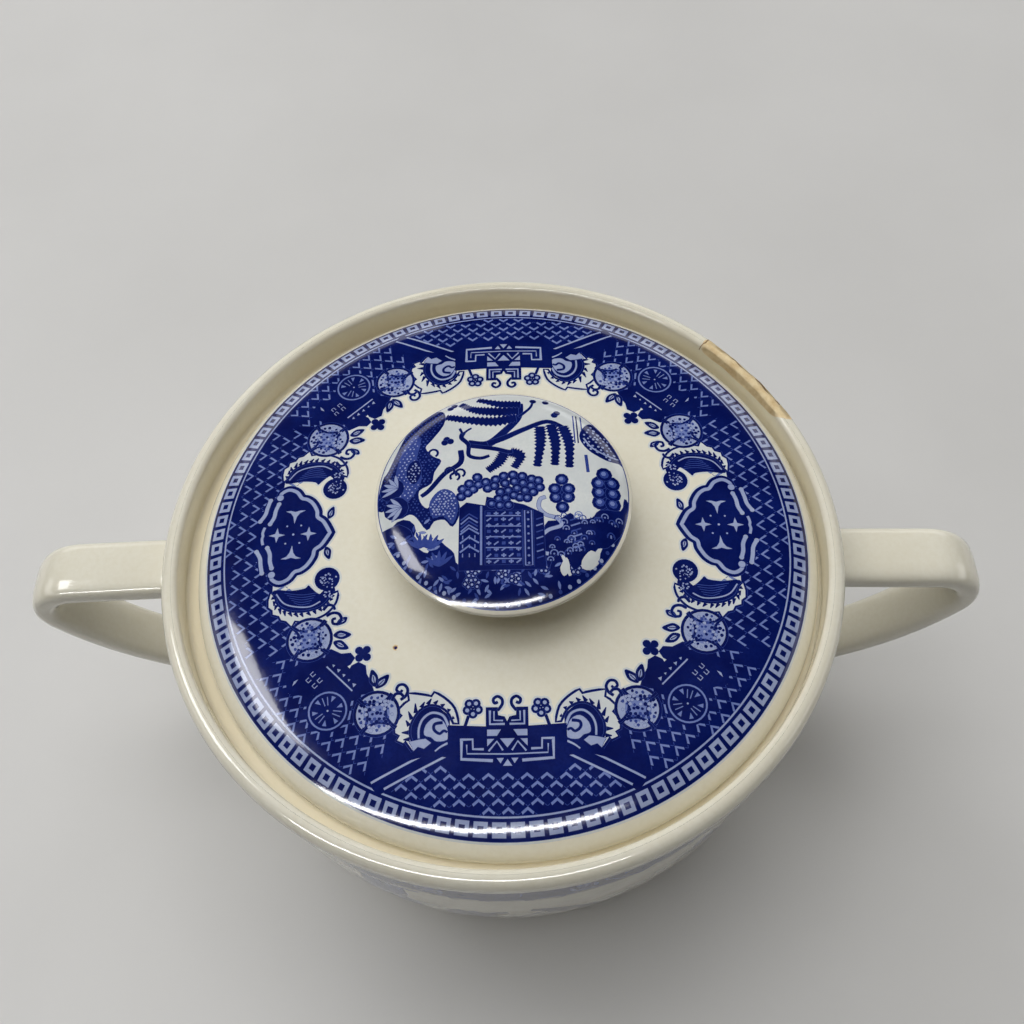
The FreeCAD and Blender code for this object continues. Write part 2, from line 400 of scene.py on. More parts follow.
class Pen:
    """Draws filled shapes in local millimetres; a later shape covers an earlier one."""

    def __init__(self, shapes, matrix=None, bleeds=True):
        self.shapes = shapes
        self.matrix = matrix or Matrix.Identity(3)
        self.bleeds = bleeds

    def at(self, x, y, degrees=0.0, scale=1.0, flip=False):
        """Pen for the same shapes with its origin here, turned, scaled and perhaps mirrored."""
        move = Matrix(((1, 0, x), (0, 1, y), (0, 0, 1)))
        turn = Matrix.Rotation(math.radians(degrees), 3, "Z")
        stretch = Matrix.Diagonal((scale, -scale if flip else scale, 1))
        return Pen(self.shapes, self.matrix @ move @ turn @ stretch, self.bleeds)

    def fill(self, points, tone, halo=HALO):
        """Shape of one tone, with a soft edge round it where the ink bleeds."""
        placed = [tuple((self.matrix @ Vector((x, y, 1))).xy) for x, y in points]
        if area(placed) < 0:
            placed.reverse()
        if halo and self.bleeds and tone != MID:
            self.shapes.append((MID, grown(placed, halo)))
        self.shapes.append((tone, placed))

    def stroke(self, points, width, tone, tip=1.0, halo=HALO):
        """Line of a given width that narrows to tip times that width at its end."""
        left, right = [], []
        last = len(points) - 1
        for i, point in enumerate(points):
            along = Vector(points[min(i + 1, last)]) - Vector(points[max(i - 1, 0)])
            side = Vector((-along.y, along.x)).normalized() * width * (1 + (tip - 1) * i / last) / 2
            left.append((point[0] + side.x, point[1] + side.y))
            right.append((point[0] - side.x, point[1] - side.y))
        self.fill(left + right[::-1], tone, halo)

    def box(self, x0, y0, x1, y1, tone, halo=HALO):
        self.fill([(x0, y0), (x1, y0), (x1, y1), (x0, y1)], tone, halo)

    def blob(self, points, tone, per=3, halo=HALO):
        """Filled shape with a smooth outline."""
        self.fill(curve(points, closed=True, per=per), tone, halo)

    def sweep(self, points, width, tone, tip=1.0, halo=HALO):
        """Line that bends smoothly through its points."""
        self.stroke(curve(points), width, tone, tip, halo)

    def disc(self, x, y, radius, tone, sides=14, halo=HALO):
        self.fill([(x + radius * math.cos(TAU * k / sides), y + radius * math.sin(TAU * k / sides))
                   for k in range(sides)], tone, halo)


def pebble(pen, x, y, radius, rng, tone=PALE):
    """Irregular little spot."""
    turn = rng.uniform(0, TAU)
    pen.fill([(x + radius * rng.uniform(0.75, 1.2) * math.cos(turn + TAU * k / 6),
               y + radius * rng.uniform(0.75, 1.2) * math.sin(turn + TAU * k / 6))
              for k in range(6)], tone, halo=0.04)


def spotted_ball(pen, radius, rng):
    """Round blossom: pale and mottled, with four dark bows round a square."""
    pen.disc(0, 0, radius + 0.3, INK, 28)
    pen.disc(0, 0, radius - 0.12, PALE, 28, halo=0)
    pen.disc(0, 0, radius * 0.62, SOFT, 20, halo=0)
    for k in range(4):
        bow = pen.at(0, 0, 90 * k + 8)
        bow.stroke(arc(radius * 1.35, 0, radius * 0.92, 122, 238, 10), 0.34, INK, halo=0.05)
    spacing = 0.72
    for row in range(-5, 6):
        for column in range(-5, 6):
            x = spacing * (column + 0.5 * (row % 2)) + rng.uniform(-0.16, 0.16)
            y = spacing * 0.87 * row + rng.uniform(-0.16, 0.16)
            if math.hypot(x, y) < radius - 0.4:
                pebble(pen, x, y, rng.uniform(0.19, 0.31), rng, rng.choice((INK, PALE, MID)))


def ring(pen, radius, width, tone, steps=14, halo=0.04):
    """Thin circle, in two halves."""
    for start in (0, 180):
        pen.stroke(arc(0, 0, radius, start, start + 180, steps), width, tone, halo=halo)


def wheel(pen, radius):
    """Thin ring with wedges and pairs of dashes."""
    pen.disc(0, 0, radius + 0.5, INK, 24, halo=0)
    ring(pen, radius, 0.24, SOFT)
    pen.disc(0, 0, 0.15, PALE, 6, halo=0.04)
    for turn in (-75, 45, 165):
        part = pen.at(0, 0, turn)
        for y in (-0.22, 0.22):
            part.stroke([(0.8, y), (radius - 0.7, y * 1.8)], 0.15, SOFT, halo=0)
        for side in (-1, 1):
            part.fill([polar(radius * 0.5, side * 34), polar(radius * 0.82, side * 28),
                       polar(radius * 0.82, side * 44)], SOFT, halo=0.04)


def toothed(pen, outer, inner, ticks):
    """Pale leaf edge between two lines, with an ink outline and dark ticks on its inner side."""
    band = outer + inner[::-1]
    pen.fill(grown(band if area(band) > 0 else band[::-1], 0.34), INK)
    pen.fill(band, TINT)
    for k in range(ticks):
        t = (k + 0.7) / ticks * (len(inner) - 1)
        i = min(int(t), len(inner) - 2)
        here = Vector(inner[i]).lerp(Vector(inner[i + 1]), t - i)
        j = min(int(t * (len(outer) - 1) / (len(inner) - 1)), len(outer) - 1)
        reach = here.lerp(Vector(outer[j]), 0.52)
        pen.stroke([tuple(here), tuple(reach)], 0.62, INK, 0.12, halo=0.05)


def key_scroll(pen):
    """Scroll leaf beside the fret: toothed crescent, thin pale bow and a curl inside."""
    pen.fill([(8.3, 31.0), (10.5, 29.2), (13.0, 30.0), (14.5, 33.0), (15.6, 34.4), (14.6, 37.4),
              (11.4, 36.6), (8.3, 37.0)], INK, halo=0)
    outer = curve([(7.2, 32.0), (7.8, 29.9), (9.1, 28.5), (10.6, 27.5)], per=3)
    outer += curve([(11.0, 28.1), (12.5, 27.8), (14.4, 27.5)], per=2)
    outer += [(14.2, 28.5), (14.9, 29.0), (15.9, 30.0), (15.2, 30.7), (16.3, 32.0), (16.2, 33.2),
              (15.5, 33.6), (15.9, 34.3), (15.0, 34.7), (14.7, 34.3), (13.6, 35.8)]
    inner = curve([(7.7, 31.9), (8.5, 30.3), (9.9, 29.3), (11.4, 29.1), (12.8, 29.8), (13.8, 31.1),
                   (14.3, 32.5), (14.2, 34.0), (13.5, 35.2)], per=3)
    toothed(pen, outer, inner, 12)
    pen.sweep([(8.5, 32.5), (9.3, 30.9), (10.9, 30.4), (12.2, 31.2), (12.8, 32.6), (12.8, 34.1)], 0.34,
              PALE, 0.8)
    pen.blob([(8.6, 33.2), (9.3, 31.7), (10.6, 31.2), (11.8, 32.2), (12.0, 33.6), (11.0, 34.0),
              (10.2, 34.6), (8.7, 34.4)], PALE)
    pen.sweep([(9.4, 31.9), (10.5, 32.1), (10.6, 32.9), (9.8, 33.5), (9.2, 33.1), (8.7, 33.3)], 0.38,
              INK, 0.7)
    pen.fill([(11.0, 34.8), (11.8, 34.2), (12.8, 34.3), (14.2, 34.6), (13.8, 35.2), (13.5, 35.9),
              (12.9, 35.3), (12.0, 35.6)], PALE)
    pen.sweep([(8.6, 34.9), (9.6, 35.4), (10.4, 36.0)], 0.3, PALE, 0.6, halo=0.05)


def panel_scroll(pen, rng):
    """Scroll leaf beside the cartouche: speckled volute, hatched belly, toothed outer band."""
    pen.blob([(28.1, 9.9), (29.0, 10.9), (30.3, 9.9), (30.9, 9.3), (31.4, 9.8), (33.6, 10.1),
              (36.4, 9.9), (36.3, 11.8), (34.6, 13.4), (31.6, 14.0), (29.0, 13.5), (27.2, 12.2),
              (26.6, 10.6), (27.0, 9.6)], INK)
    outer = curve([(26.2, 10.7), (26.5, 12.4), (27.6, 13.9), (29.0, 14.7), (30.9, 15.2),
                   (32.6, 15.1)], per=3)
    outer += [(33.0, 16.0), (33.9, 15.1), (34.7, 14.9), (35.1, 14.2), (36.1, 13.9), (36.2, 13.2),
              (36.9, 12.7), (37.0, 11.6), (36.8, 10.4)]
    inner = curve([(26.9, 11.0), (27.6, 12.3), (29.0, 13.4), (31.5, 13.9), (33.8, 13.6), (35.6, 12.5),
                   (36.3, 10.9)], per=3)
    toothed(pen, outer, inner, 15)
    pen.sweep([(28.8, 12.1), (30.4, 12.9), (32.7, 12.8), (34.6, 12.1), (35.9, 10.5)], 0.2, PALE,
              halo=0.05)
    for k in range(5):
        y = 10.6 + 0.42 * k
        pen.sweep([(29.4 + 0.25 * k, y), (31.8, y + 0.25), (34.6 - 0.4 * k, y - 0.2)], 0.12, MID,
                  halo=0)
    pen.disc(28.0, 8.3, 1.95, INK, 22)
    pen.blob([(26.6, 9.2), (27.7, 9.8), (29.0, 10.9), (28.5, 11.6), (27.2, 11.2)], INK, halo=0)
    for _ in range(26):
        x, y = polar(1.35 * math.sqrt(rng.random()), rng.uniform(0, 360))
        pebble(pen, 27.8 + x, 8.4 + y, rng.uniform(0.1, 0.2), rng)
    for _ in range(14):
        pebble(pen, 27.0 + rng.uniform(-0.2, 1.4), 9.8 + rng.uniform(0, 1.6), 0.14, rng)
    pen.sweep([(29.3, 8.7), (28.9, 9.5), (28.0, 9.4), (27.8, 8.8)], 0.3, INK, 0.7, halo=0)


def star(pen, radius):
    """Four-pointed star."""
    pen.fill([polar(0.42 if k % 2 else radius, 45 * k) for k in range(8)], PALE)


def cartouche(pen):
    """Pointed lobed panel, local +x outwards: pale frame, four stars, wavy bars outside."""
    half = [(-4.8, 2.1), (-3.75, 3.0), (-3.55, 4.2), (-2.7, 5.7), (-1.7, 6.5), (-0.8, 6.8),
            (0.1, 8.0), (1.5, 8.55), (2.7, 7.9), (2.9, 6.9)]
    lower = [(x, -y) for x, y in reversed(half)]
    frame_line = curve(lower + [(-6.0, 0.0)], per=4) + curve([(-6.0, 0.0)] + half, per=4)[1:]
    pen.stroke([(x * 1.02 - 0.1, y * 1.01) for x, y in frame_line], 1.32, INK)
    pen.fill(frame_line + [(5.0, 6.6), (5.9, 3.0), (6.1, 0.0), (5.9, -3.0), (5.0, -6.6)], INK, halo=0)
    pen.stroke(frame_line, 0.58, PALE)
    for side in (1, -1):
        pen.disc(2.85, side * 7.1, 0.56, PALE, 12)
        for points in ([(2.95, 5.9), (3.35, 4.7), (3.5, 3.4), (4.05, 2.2)],
                       [(4.45, 6.7), (4.8, 5.3), (5.05, 4.0), (5.75, 2.8)]):
            bar = [(x, side * y) for x, y in points]
            pen.sweep(bar, 0.62, PALE)
            for end in (bar[0], bar[-1]):
                pen.disc(end[0], end[1], 0.4, PALE, 9, halo=0)
        fork = [(0, 2.0), (0.28, 3.3), (0.75, 4.0), (1.65, 4.4), (0.8, 4.45), (0, 4.2), (-0.8, 4.45),
                (-1.65, 4.4), (-0.75, 4.0), (-0.28, 3.3)]
        pen.fill([(x, side * y) for x, y in fork], PALE)
        for x in (-1.15, 1.15):
            pen.disc(x, side * 1.6, 0.16, PALE, 6, halo=0.05)
    star(pen.at(-2.5, 0), 1.3)
    star(pen.at(2.7, 0), 1.35)
    pen.disc(0, 0, 0.2, PALE, 6, halo=0.05)
    pen.sweep([(4.85, 1.6), (5.1, 0.6), (4.95, -0.3), (5.2, -1.6)], 0.42, PALE)


def small_leaf(pen, length):
    """Outlined leaf with a pale heart and a dark vein."""
    body = curve([(0, 0), (length * 0.3, length * 0.25), (length * 0.65, length * 0.2),
                  (length, 0.05), (length * 0.6, -length * 0.22), (length * 0.25, -length * 0.18)],
                 closed=True, per=3)
    pen.fill(body, INK)
    pen.fill([(x * 0.5 + length * 0.2, y * 0.45) for x, y in body], PALE, halo=0.04)
    pen.stroke([(length * 0.1, 0), (length * 0.62, 0.03)], 0.14, INK, halo=0)


def tendril(pen):
    """Stem that ends in a curl."""
    pen.sweep([(0, 0), (0.7, 0.75), (1.7, 0.95), (2.5, 0.3), (2.4, -0.6), (1.6, -0.9), (1.2, -0.3),
               (1.6, 0.05)], 0.4, INK, 0.8)


def hook(pen):
    """Short bent stem."""
    pen.sweep([(0, 0), (0.9, 0.5), (1.6, 0.1), (1.7, -0.6)], 0.38, INK, 0.8)


def daisy(pen, turn=0.0):
    """Five-petalled flower drawn in outline."""
    for k in range(5):
        x, y = polar(0.82, turn + 72 * k)
        pen.disc(x, y, 0.66, INK, 12)
    for k in range(5):
        x, y = polar(0.86, turn + 72 * k)
        pen.disc(x, y, 0.3, PALE, 7, halo=0.05)
    pen.disc(0, 0, 0.5, INK, 10, halo=0)
    for k in range(3):
        x, y = polar(0.25, turn + 120 * k)
        pen.disc(x, y, 0.09, PALE, 5, halo=0)


def cross_flower(pen):
    """Four dark notched petals."""
    radius = 1.25
    for k in range(4):
        x, y = polar(radius * 0.66, 45 + 90 * k)
        pen.disc(x, y, radius * 0.46, INK, 11)
        pen.disc(x * 1.25, y * 1.25, radius * 0.3, INK, 9, halo=0)
    pen.disc(0, 0, radius * 0.5, INK, 8, halo=0)


def ledge(pen):
    """Straight pale ledge with a row of little teeth on its inner side, and marks outside."""
    pen.fill([(21.2, 25.4), (25.6, 21.2), (30.4, 21.6), (33.2, 23.4), (32.8, 26.6), (29.6, 27.4),
              (26.0, 26.6), (23.6, 28.4), (21.6, 28.0)], INK, halo=0)
    pen.stroke([(22.9, 26.7), (27.0, 22.8)], 0.2, PALE, halo=0.06)
    for k, size in enumerate((0.32, 0.2, 0.26, 0.3, 0.24)):
        t = 0.04 + 0.2 * k
        x, y = 22.5 + 4.1 * t, 26.0 - 3.9 * t
        pen.fill([(x - size, y - size * 0.4), (x + size * 0.8, y - size), (x + size * 0.3, y + size)],
                 PALE, halo=0.04)
    for x, y in ((27.9, 24.9), (28.6, 25.7), (29.0, 23.9), (29.6, 24.8)):
        mark = pen.at(x, y, 45)
        mark.stroke([(-0.3, -0.28), (0.3, -0.28), (0.3, 0.28), (-0.3, 0.28)], 0.13, PALE, halo=0.03)
    pen.fill([(31.2, 24.6), (31.8, 24.9), (32.0, 25.6), (31.6, 25.2)], PALE, halo=0.04)


def key_panel(pen):
    """Stepped fret on the +y axis: bracket, pointed teeth and stepped feet with curls."""
    pen.fill([(-8.6, 38.6), (8.6, 38.6), (8.6, 32.3), (3.1, 32.6), (3.1, 29.8), (1.35, 29.8),
              (1.3, 31.0), (0.35, 31.2), (0.0, 31.9), (-0.35, 31.2), (-1.3, 31.0), (-1.35, 29.8),
              (-3.1, 29.8), (-3.1, 32.6), (-8.6, 32.3)][::-1], INK, halo=0)
    for s in (-1, 1):
        def line(points, width, tone=PALE):
            pen.stroke([(s * x, y) for x, y in points], width, tone, halo=0.05)

        def wedge(*points):
            pen.fill([(s * x, y) for x, y in points], PALE, halo=0.05)

        line([(6.6, 34.3), (6.6, 37.25), (2.1, 37.55)], 0.42)
        line([(6.6, 34.45), (5.0, 34.45), (4.95, 35.85), (3.4, 35.9)], 0.32)
        line([(5.85, 35.2), (5.8, 36.5), (0.0, 36.65)], 0.18)
        line([(2.5, 30.3), (2.5, 32.3), (0.35, 32.3)], 0.3)
        line([(1.9, 30.4), (1.9, 31.75), (0.6, 31.8)], 0.2)
        wedge((0.9, 33.1), (2.9, 33.1), (2.9, 34.0), (1.5, 34.0))
        wedge((1.9, 34.45), (2.9, 34.45), (2.9, 35.5))
        wedge((0.55, 37.2), (1.55, 37.2), (1.0, 37.95))
        line([(0.65, 36.1), (1.5, 34.8), (2.7, 36.2)], 0.24)
        curl = curve([(1.35, 30.3), (0.7, 29.4), (0.75, 28.6), (1.4, 28.2), (2.0, 28.65), (1.8, 29.2),
                      (1.35, 29.05)])
        line(curl, 0.38, INK)
        line([(5.6, 31.0), (6.1, 32.5)], 0.4, INK)
    pen.fill([(-1.05, 34.4), (1.05, 34.4), (0.0, 35.7)], PALE, halo=0.05)
    pen.fill([(0.0, 37.35), (0.65, 38.3), (-0.65, 38.3)], PALE, halo=0.05)


def chevron(pen, across, down):
    """One scale of the trellis, its point at the local origin and facing -x."""
    half, deep = across * 0.33, down * 0.62
    arms = [(0, 0), (deep, half), (deep + 0.3, half - 0.16), (0.42, 0), (deep + 0.3, 0.16 - half),
            (deep, -half)]
    pen.fill(arms, SOFT, halo=0.06)
    for side in (1, -1) if pen.bleeds else ():
        pen.stroke([(deep * 1.15, side * half * 1.15), (deep * 1.5, side * half * 1.5)], 0.1, MID,
                   halo=0)


def square_link(pen, size):
    """Pale square with a dark square inside."""
    for half, tone in ((size / 2, PALE), (size * 0.2, INK)):
        pen.box(-half, -half, half, half, tone, halo=0.06)


# ---- the lid's border ---------------------------------------------------------------------
def border_trellis(pen, rng):
    """Rows of chevrons in three sections, parted by twin lines."""
    for turn, low, high, across, down in ((0, -4, 31, 2.65, 1.85), (45, 31, 64.3, 2.4, 1.7),
                                          (90, 68.2, 94, 2.75, 1.17)):
        a = math.radians(turn)
        for row in range(16):
            for column in range(-9, 10):
                x = 44.3 - down * row - 0.35
                y = across * (column + 0.5 * (row % 2)) + rng.uniform(-0.06, 0.06)
                px = x * math.cos(a) - y * math.sin(a)
                py = x * math.sin(a) + y * math.cos(a)
                radius, angle = math.hypot(px, py), math.degrees(math.atan2(py, px))
                room = 0.8 / radius * 57.3
                if low + room < angle < high - room and 34.0 < radius < 44.2:
                    if turn != 90 or radius > 38.9:
                        chevron(pen.at(px, py, turn), across, down)


def border_frame(pen):
    """Outer chain of squares and the thin line inside it."""
    count = 28
    for k in range(-1, count + 1):
        a = 90 * (k + 0.5) / count
        x, y = polar(46.95, a)
        square_link(pen.at(x, y, a), 1.98)
    for k in range(-2, 32):
        pen.stroke(arc(0, 0, 45.35, 3 * k, 3 * k + 3, 2), 0.24, PALE, halo=0.05)


def border_ground(pen):
    """Dark ground of the border over one quarter, with its broken inner edge."""
    inner = [(36.8, -2), (36.8, 6.8), (36.6, 10.2), (35.2, 13.6), (32.8, 15.6), (31.5, 18.0),
             (29.0, 20.8), (26.5, 20.1), (24.9, 20.9), (23.5, 20.8), (22.8, 21.6), (23.4, 22.6),
             (24.7, 23.3), (24.9, 23.9), (23.7, 23.7), (23.2, 22.8), (22.2, 22.3), (21.1, 22.9),
             (20.9, 24.2), (20.1, 25.6), (19.5, 27.4), (16.6, 30.4), (15.4, 33.6), (12.5, 35.9),
             (8.6, 35.4), (8.4, 34.0), (-2, 34.0)]
    outer = arc(0, 0, BORDER_EDGE, 94, -4, 56)
    pen.fill(inner + outer, INK)


def twin_lines(pen):
    """Two pale lines that part the trellis."""
    pen.fill([(8.4, 36.0), (10.2, 35.3), (20.2, 39.9), (18.4, 42.0)], INK, halo=0)
    for line in ([(8.9, 36.8), (17.6, 41.1)], [(10.9, 35.9), (19.5, 40.2)]):
        pen.stroke(line, 0.3, PALE, halo=0.05)


def lid_border():
    """Shapes over a quarter of the lid, from the cartouche on +x to the fret on +y."""
    shapes = []
    pen = Pen(shapes)
    rng = random.Random(7)
    small_leaf(pen.at(24.4, 15.0, 35), 2.0)
    border_ground(pen)
    border_trellis(pen, rng)
    border_frame(pen)
    twin_lines(pen)
    ledge(pen)
    wheel(pen.at(26.4, 29.6), 2.8)
    panel_scroll(pen, rng)
    key_scroll(pen)
    spotted_ball(pen.at(30.0, 18.4), 3.3, rng)
    spotted_ball(pen.at(19.1, 30.3), 3.15, rng)
    cartouche(pen.at(34.2, 0))
    key_panel(pen)
    daisy(pen.at(5.0, 29.9), 20)
    cross_flower(pen.at(21.6, 21.0, 4))
    for x, y, turn, length in ((28.6, 2.6, 105, 2.3), (26.3, 17.8, 178, 2.7), (26.2, 18.9, 152, 2.6),
                               (19.4, 26.4, 225, 2.7), (19.5, 26.2, 282, 2.7)):
        small_leaf(pen.at(x, y, turn), length)
    tendril(pen.at(27.6, 14.6, 160, 0.95))
    hook(pen.at(28.2, 13.6, 200))
    tendril(pen.at(15.6, 28.3, 265, 0.9, True))
    hook(pen.at(16.9, 28.4, 215))
    return glow(shapes) + shapes


def glow(shapes):
    """Faint blue in the glaze just outside the ink of all but the smallest shapes."""
    return [(TINT, grown(points, 0.38)) for tone, points in shapes
            if tone == INK and abs(area(points)) > 0.6]


def inside_shape(points, x, y):
    """Which of the places x, y lie inside an outline, by winding number."""
    turns = np.zeros(len(x), int)
    for (ax, ay), (bx, by) in zip(points, points[1:] + points[:1]):
        side = (bx - ax) * (y - ay) - (by - ay) * (x - ax)
        turns += ((ay <= y) & (by > y) & (side > 0)).astype(int)
        turns -= ((ay > y) & (by <= y) & (side < 0)).astype(int)
    return turns != 0


def triangulate(shapes, outline, inside, guides):
    """Points and toned triangles over an outline; the last shape over a triangle gives its tone.

    The triangles follow the guide lines and also use the points given as inside.
    """
    coords = []
    edges = []
    for points in [outline] + [points for tone, points in shapes]:
        first = len(coords)
        edges += [(first + k, first + (k + 1) % len(points)) for k in range(len(points))]
        coords.extend(Vector(p) for p in points)
    for line in guides:
        edges += [(len(coords) + k, len(coords) + k + 1) for k in range(len(line) - 1)]
        coords.extend(Vector(p) for p in line)
    coords.extend(Vector(p) for p in inside)
    merge = 2e-3
    points, _, triangles, *_ = delaunay_2d_cdt(coords, edges, [], 0, merge)
    triangles = np.array([tuple(t) for t in triangles])
    middle = np.array([tuple(p) for p in points])[triangles].mean(axis=1)
    x, y = middle[:, 0], middle[:, 1]
    tones = np.full(len(triangles), GLAZE)
    for tone, shape in shapes:
        low, high = np.min(shape, axis=0), np.max(shape, axis=0)
        near = np.nonzero((x > low[0]) & (x < high[0]) & (y > low[1]) & (y < high[1]))[0]
        tones[near[inside_shape(shape, x[near], y[near])]] = tone
    kept = inside_shape(outline, x, y)
    return [tuple(p) for p in points], [(tuple(t), int(tone)) for t, tone in
                                        zip(triangles[kept], tones[kept])]


def frame_outline(columns, rows):
    """Outline of a rectangular sheet, with a point for every column and row."""
    first, last, low, high = columns[0], columns[-1], rows[0], rows[-1]
    return ([(u, low) for u in columns] + [(last, v) for v in rows[1:-1]]
            + [(u, high) for u in reversed(columns)] + [(first, v) for v in reversed(rows[1:-1])])


# ---- garden motifs ------------------------------------------------------------------------
def strand(pen, points, width):
    """Hanging spray of foliage with a feathered edge."""
    line = curve(points, per=12)
    left, right = [], []
    last = len(line) - 1
    for i, point in enumerate(line):
        along = Vector(line[min(i + 1, last)]) - Vector(line[max(i - 1, 0)])
        side = Vector((-along.y, along.x)).normalized()
        swell = 0.75 + 0.35 * math.sin(math.pi * min(1, 0.25 + i / last))
        reach = width / 2 * (1.2 if i % 2 else 0.72) * swell
        left.append((point[0] + side.x * reach, point[1] + side.y * reach))
        right.append((point[0] - side.x * reach, point[1] - side.y * reach))
    pen.fill(left + right[::-1], INK)


def berries(pen, spots, radius):
    """Cluster of round leaves, each with a pale ring."""
    for x, y in spots:
        pen.disc(x, y, radius * 1.26, INK, 10)
    for x, y in spots:
        pen.disc(x, y, radius * 0.76, MID, 8, halo=0)
        pen.disc(x - radius * 0.1, y + radius * 0.12, radius * 0.42, SOFT, 6, halo=0)


def crown(pen, x, y, width, height, radius, rng):
    """Tree crown packed with round leaves inside an oval."""
    spots = []
    rows = max(2, int(height / (radius * 1.7)))
    for row in range(rows):
        level = -1 + 2 * (row + 0.5) / rows
        reach = width / 2 * math.sqrt(1 - level * level)
        count = max(1, int(2 * reach / (radius * 1.9)))
        for k in range(count):
            across = reach * (-1 + 2 * (k + 0.5) / count)
            spots.append((x + across + rng.uniform(-0.1, 0.1) * radius,
                          y + level * height / 2 + rng.uniform(-0.15, 0.15) * radius))
    pen.disc(x, y, min(width, height) * 0.34, INK, 14, halo=0)
    berries(pen, spots, radius)


def stippled(pen, points, tone, rng, spacing, size, dot=PALE):
    """Mass of foliage: a filled outline broken up with dots."""
    pen.fill(points, tone)
    xs, ys = [p[0] for p in points], [p[1] for p in points]
    y = min(ys)
    row = 0
    while y < max(ys):
        x = min(xs) + spacing * 0.5 * (row % 2)
        while x < max(xs):
            px, py = x + rng.uniform(-0.2, 0.2) * spacing, y + rng.uniform(-0.2, 0.2) * spacing
            if edge_distance(points, px, py) > size * 1.6:
                pebble(pen, px, py, size * rng.uniform(0.7, 1.25), rng, dot)
            x += spacing
        y += spacing * 0.8
        row += 1


def brickwork(pen, x, y, width, height, rows, columns):
    """Dark wall with small pale bars in broken rows."""
    pen.box(x, y, x + width, y + height, INK)
    dx, dy = width / columns, height / rows
    for row in range(rows):
        for column in range(columns):
            px, py = x + dx * (column + 0.5), y + dy * (row + 0.5)
            if (row + column) % 3 == 0:
                pen.stroke([(px - dx * 0.32, py), (px + dx * 0.32, py)], dy * 0.26, SOFT, halo=0.03)
                pen.stroke([(px, py - dy * 0.3), (px, py + dy * 0.3)], dx * 0.2, SOFT, halo=0.03)
            elif (row + column) % 3 == 1:
                pen.stroke([(px - dx * 0.3, py - dy * 0.25), (px + dx * 0.3, py + dy * 0.25)],
                           dy * 0.22, SOFT, halo=0.03)
            else:
                pen.box(px - dx * 0.25, py - dy * 0.25, px + dx * 0.25, py + dy * 0.25, MID, halo=0)


def column_post(pen, x, y, width, height):
    """Pale outlined post with beads down its middle."""
    pen.box(x, y, x + width, y + height, INK)
    edge = width * 0.16
    box = [(x + edge, y + edge), (x + width - edge, y + edge), (x + width - edge, y + height - edge),
           (x + edge, y + height - edge), (x + edge, y + edge)]
    pen.stroke(box, width * 0.11, SOFT, halo=0.03)
    count = int(height / width * 1.3)
    for k in range(count):
        pen.disc(x + width / 2, y + height * (k + 0.5) / count, width * 0.13, SOFT, 6, halo=0)


def tiled_roof(pen, x, y, width, height, curl):
    """Roof with turned-up corners, a ridge and slanting tiles."""
    half = width / 2
    outline = curve([(-half - curl, curl * 0.9), (-half * 0.8, 0.1 * height),
                     (-half * 0.45, height * 0.7), (-half * 0.3, height)], per=4)
    full = outline + [(-p[0], p[1]) for p in reversed(outline)]
    pen.fill([(x + px, y + py) for px, py in full], INK)
    for side in (1, -1):
        eave = [(x + side * (half + curl * 0.7), y + curl * 0.72),
                (x + side * half * 0.75, y + height * 0.14), (x, y + height * 0.1)]
        pen.sweep(eave, height * 0.09, PALE, halo=0.03)
        pen.stroke([(x + side * half * 0.34, y + height * 0.86), (x, y + height * 0.86)], height * 0.08,
                   PALE, halo=0.03)
        for k in range(4):
            t = (k + 0.5) / 4
            pen.stroke([(x + side * half * 0.3 * t, y + height * 0.76),
                        (x + side * half * (0.72 * t + 0.06), y + height * 0.26)], height * 0.055, PALE,
                       halo=0.03)


def pavilion(pen, x, y, width, storeys):
    """Garden house: a stack of roofs over open storeys, each narrower than the one below."""
    level = y
    for k in range(storeys):
        w = width * (1 - 0.22 * k)
        h = width * 0.30
        pen.fill([(x - w * 0.36, level), (x + w * 0.36, level), (x + w * 0.34, level + h),
                  (x - w * 0.34, level + h)], MID)
        for j in range(5):
            px = x - w * 0.32 + w * 0.16 * j
            pen.box(px - w * 0.018, level, px + w * 0.018, level + h, INK, halo=0)
            if j < 4:
                pen.box(px + w * 0.045, level + h * 0.15, px + w * 0.115, level + h * 0.85, PALE,
                        halo=0.03)
        tiled_roof(pen, x, level + h * 0.92, w * 0.9, width * 0.26, width * 0.09)
        level += h + width * 0.2
    pen.disc(x, level + width * 0.04, width * 0.035, INK, 8)
    for reach, drop, thick in ((0.5, 0.03, 0.06), (0.58, 0.1, 0.03)):
        pen.stroke([(x - width * reach, y - width * drop), (x + width * reach, y - width * drop)],
                   width * thick, INK)


def bent_tree(pen):
    """Leaning trunk with long feathered strands."""
    pen.sweep([(0, 0), (0.8, 3.5), (0.2, 7.5), (1.8, 11.0), (3.2, 13.6)], 1.05, INK, 0.35)
    pen.sweep([(0.4, 6.4), (-1.8, 8.6), (-3.6, 11.2)], 0.6, INK, 0.5)
    pen.sweep([(1.2, 9.9), (4.0, 11.2), (6.2, 11.4)], 0.55, INK, 0.5)
    for dx, top, drop in ((-5.6, 11.6, 7.0), (-4.0, 12.6, 5.4), (-2.4, 13.4, 4.6), (3.0, 14.4, 4.0),
                          (4.8, 13.8, 5.2), (6.6, 12.8, 6.8), (8.2, 11.4, 7.4)):
        bend = 0.5 if dx > 0 else -0.5
        strand(pen, [(dx * 0.45, top), (dx * 0.85, top - 0.4), (dx + bend, top - drop * 0.5),
                     (dx + bend * 0.6, top - drop)], 1.25)


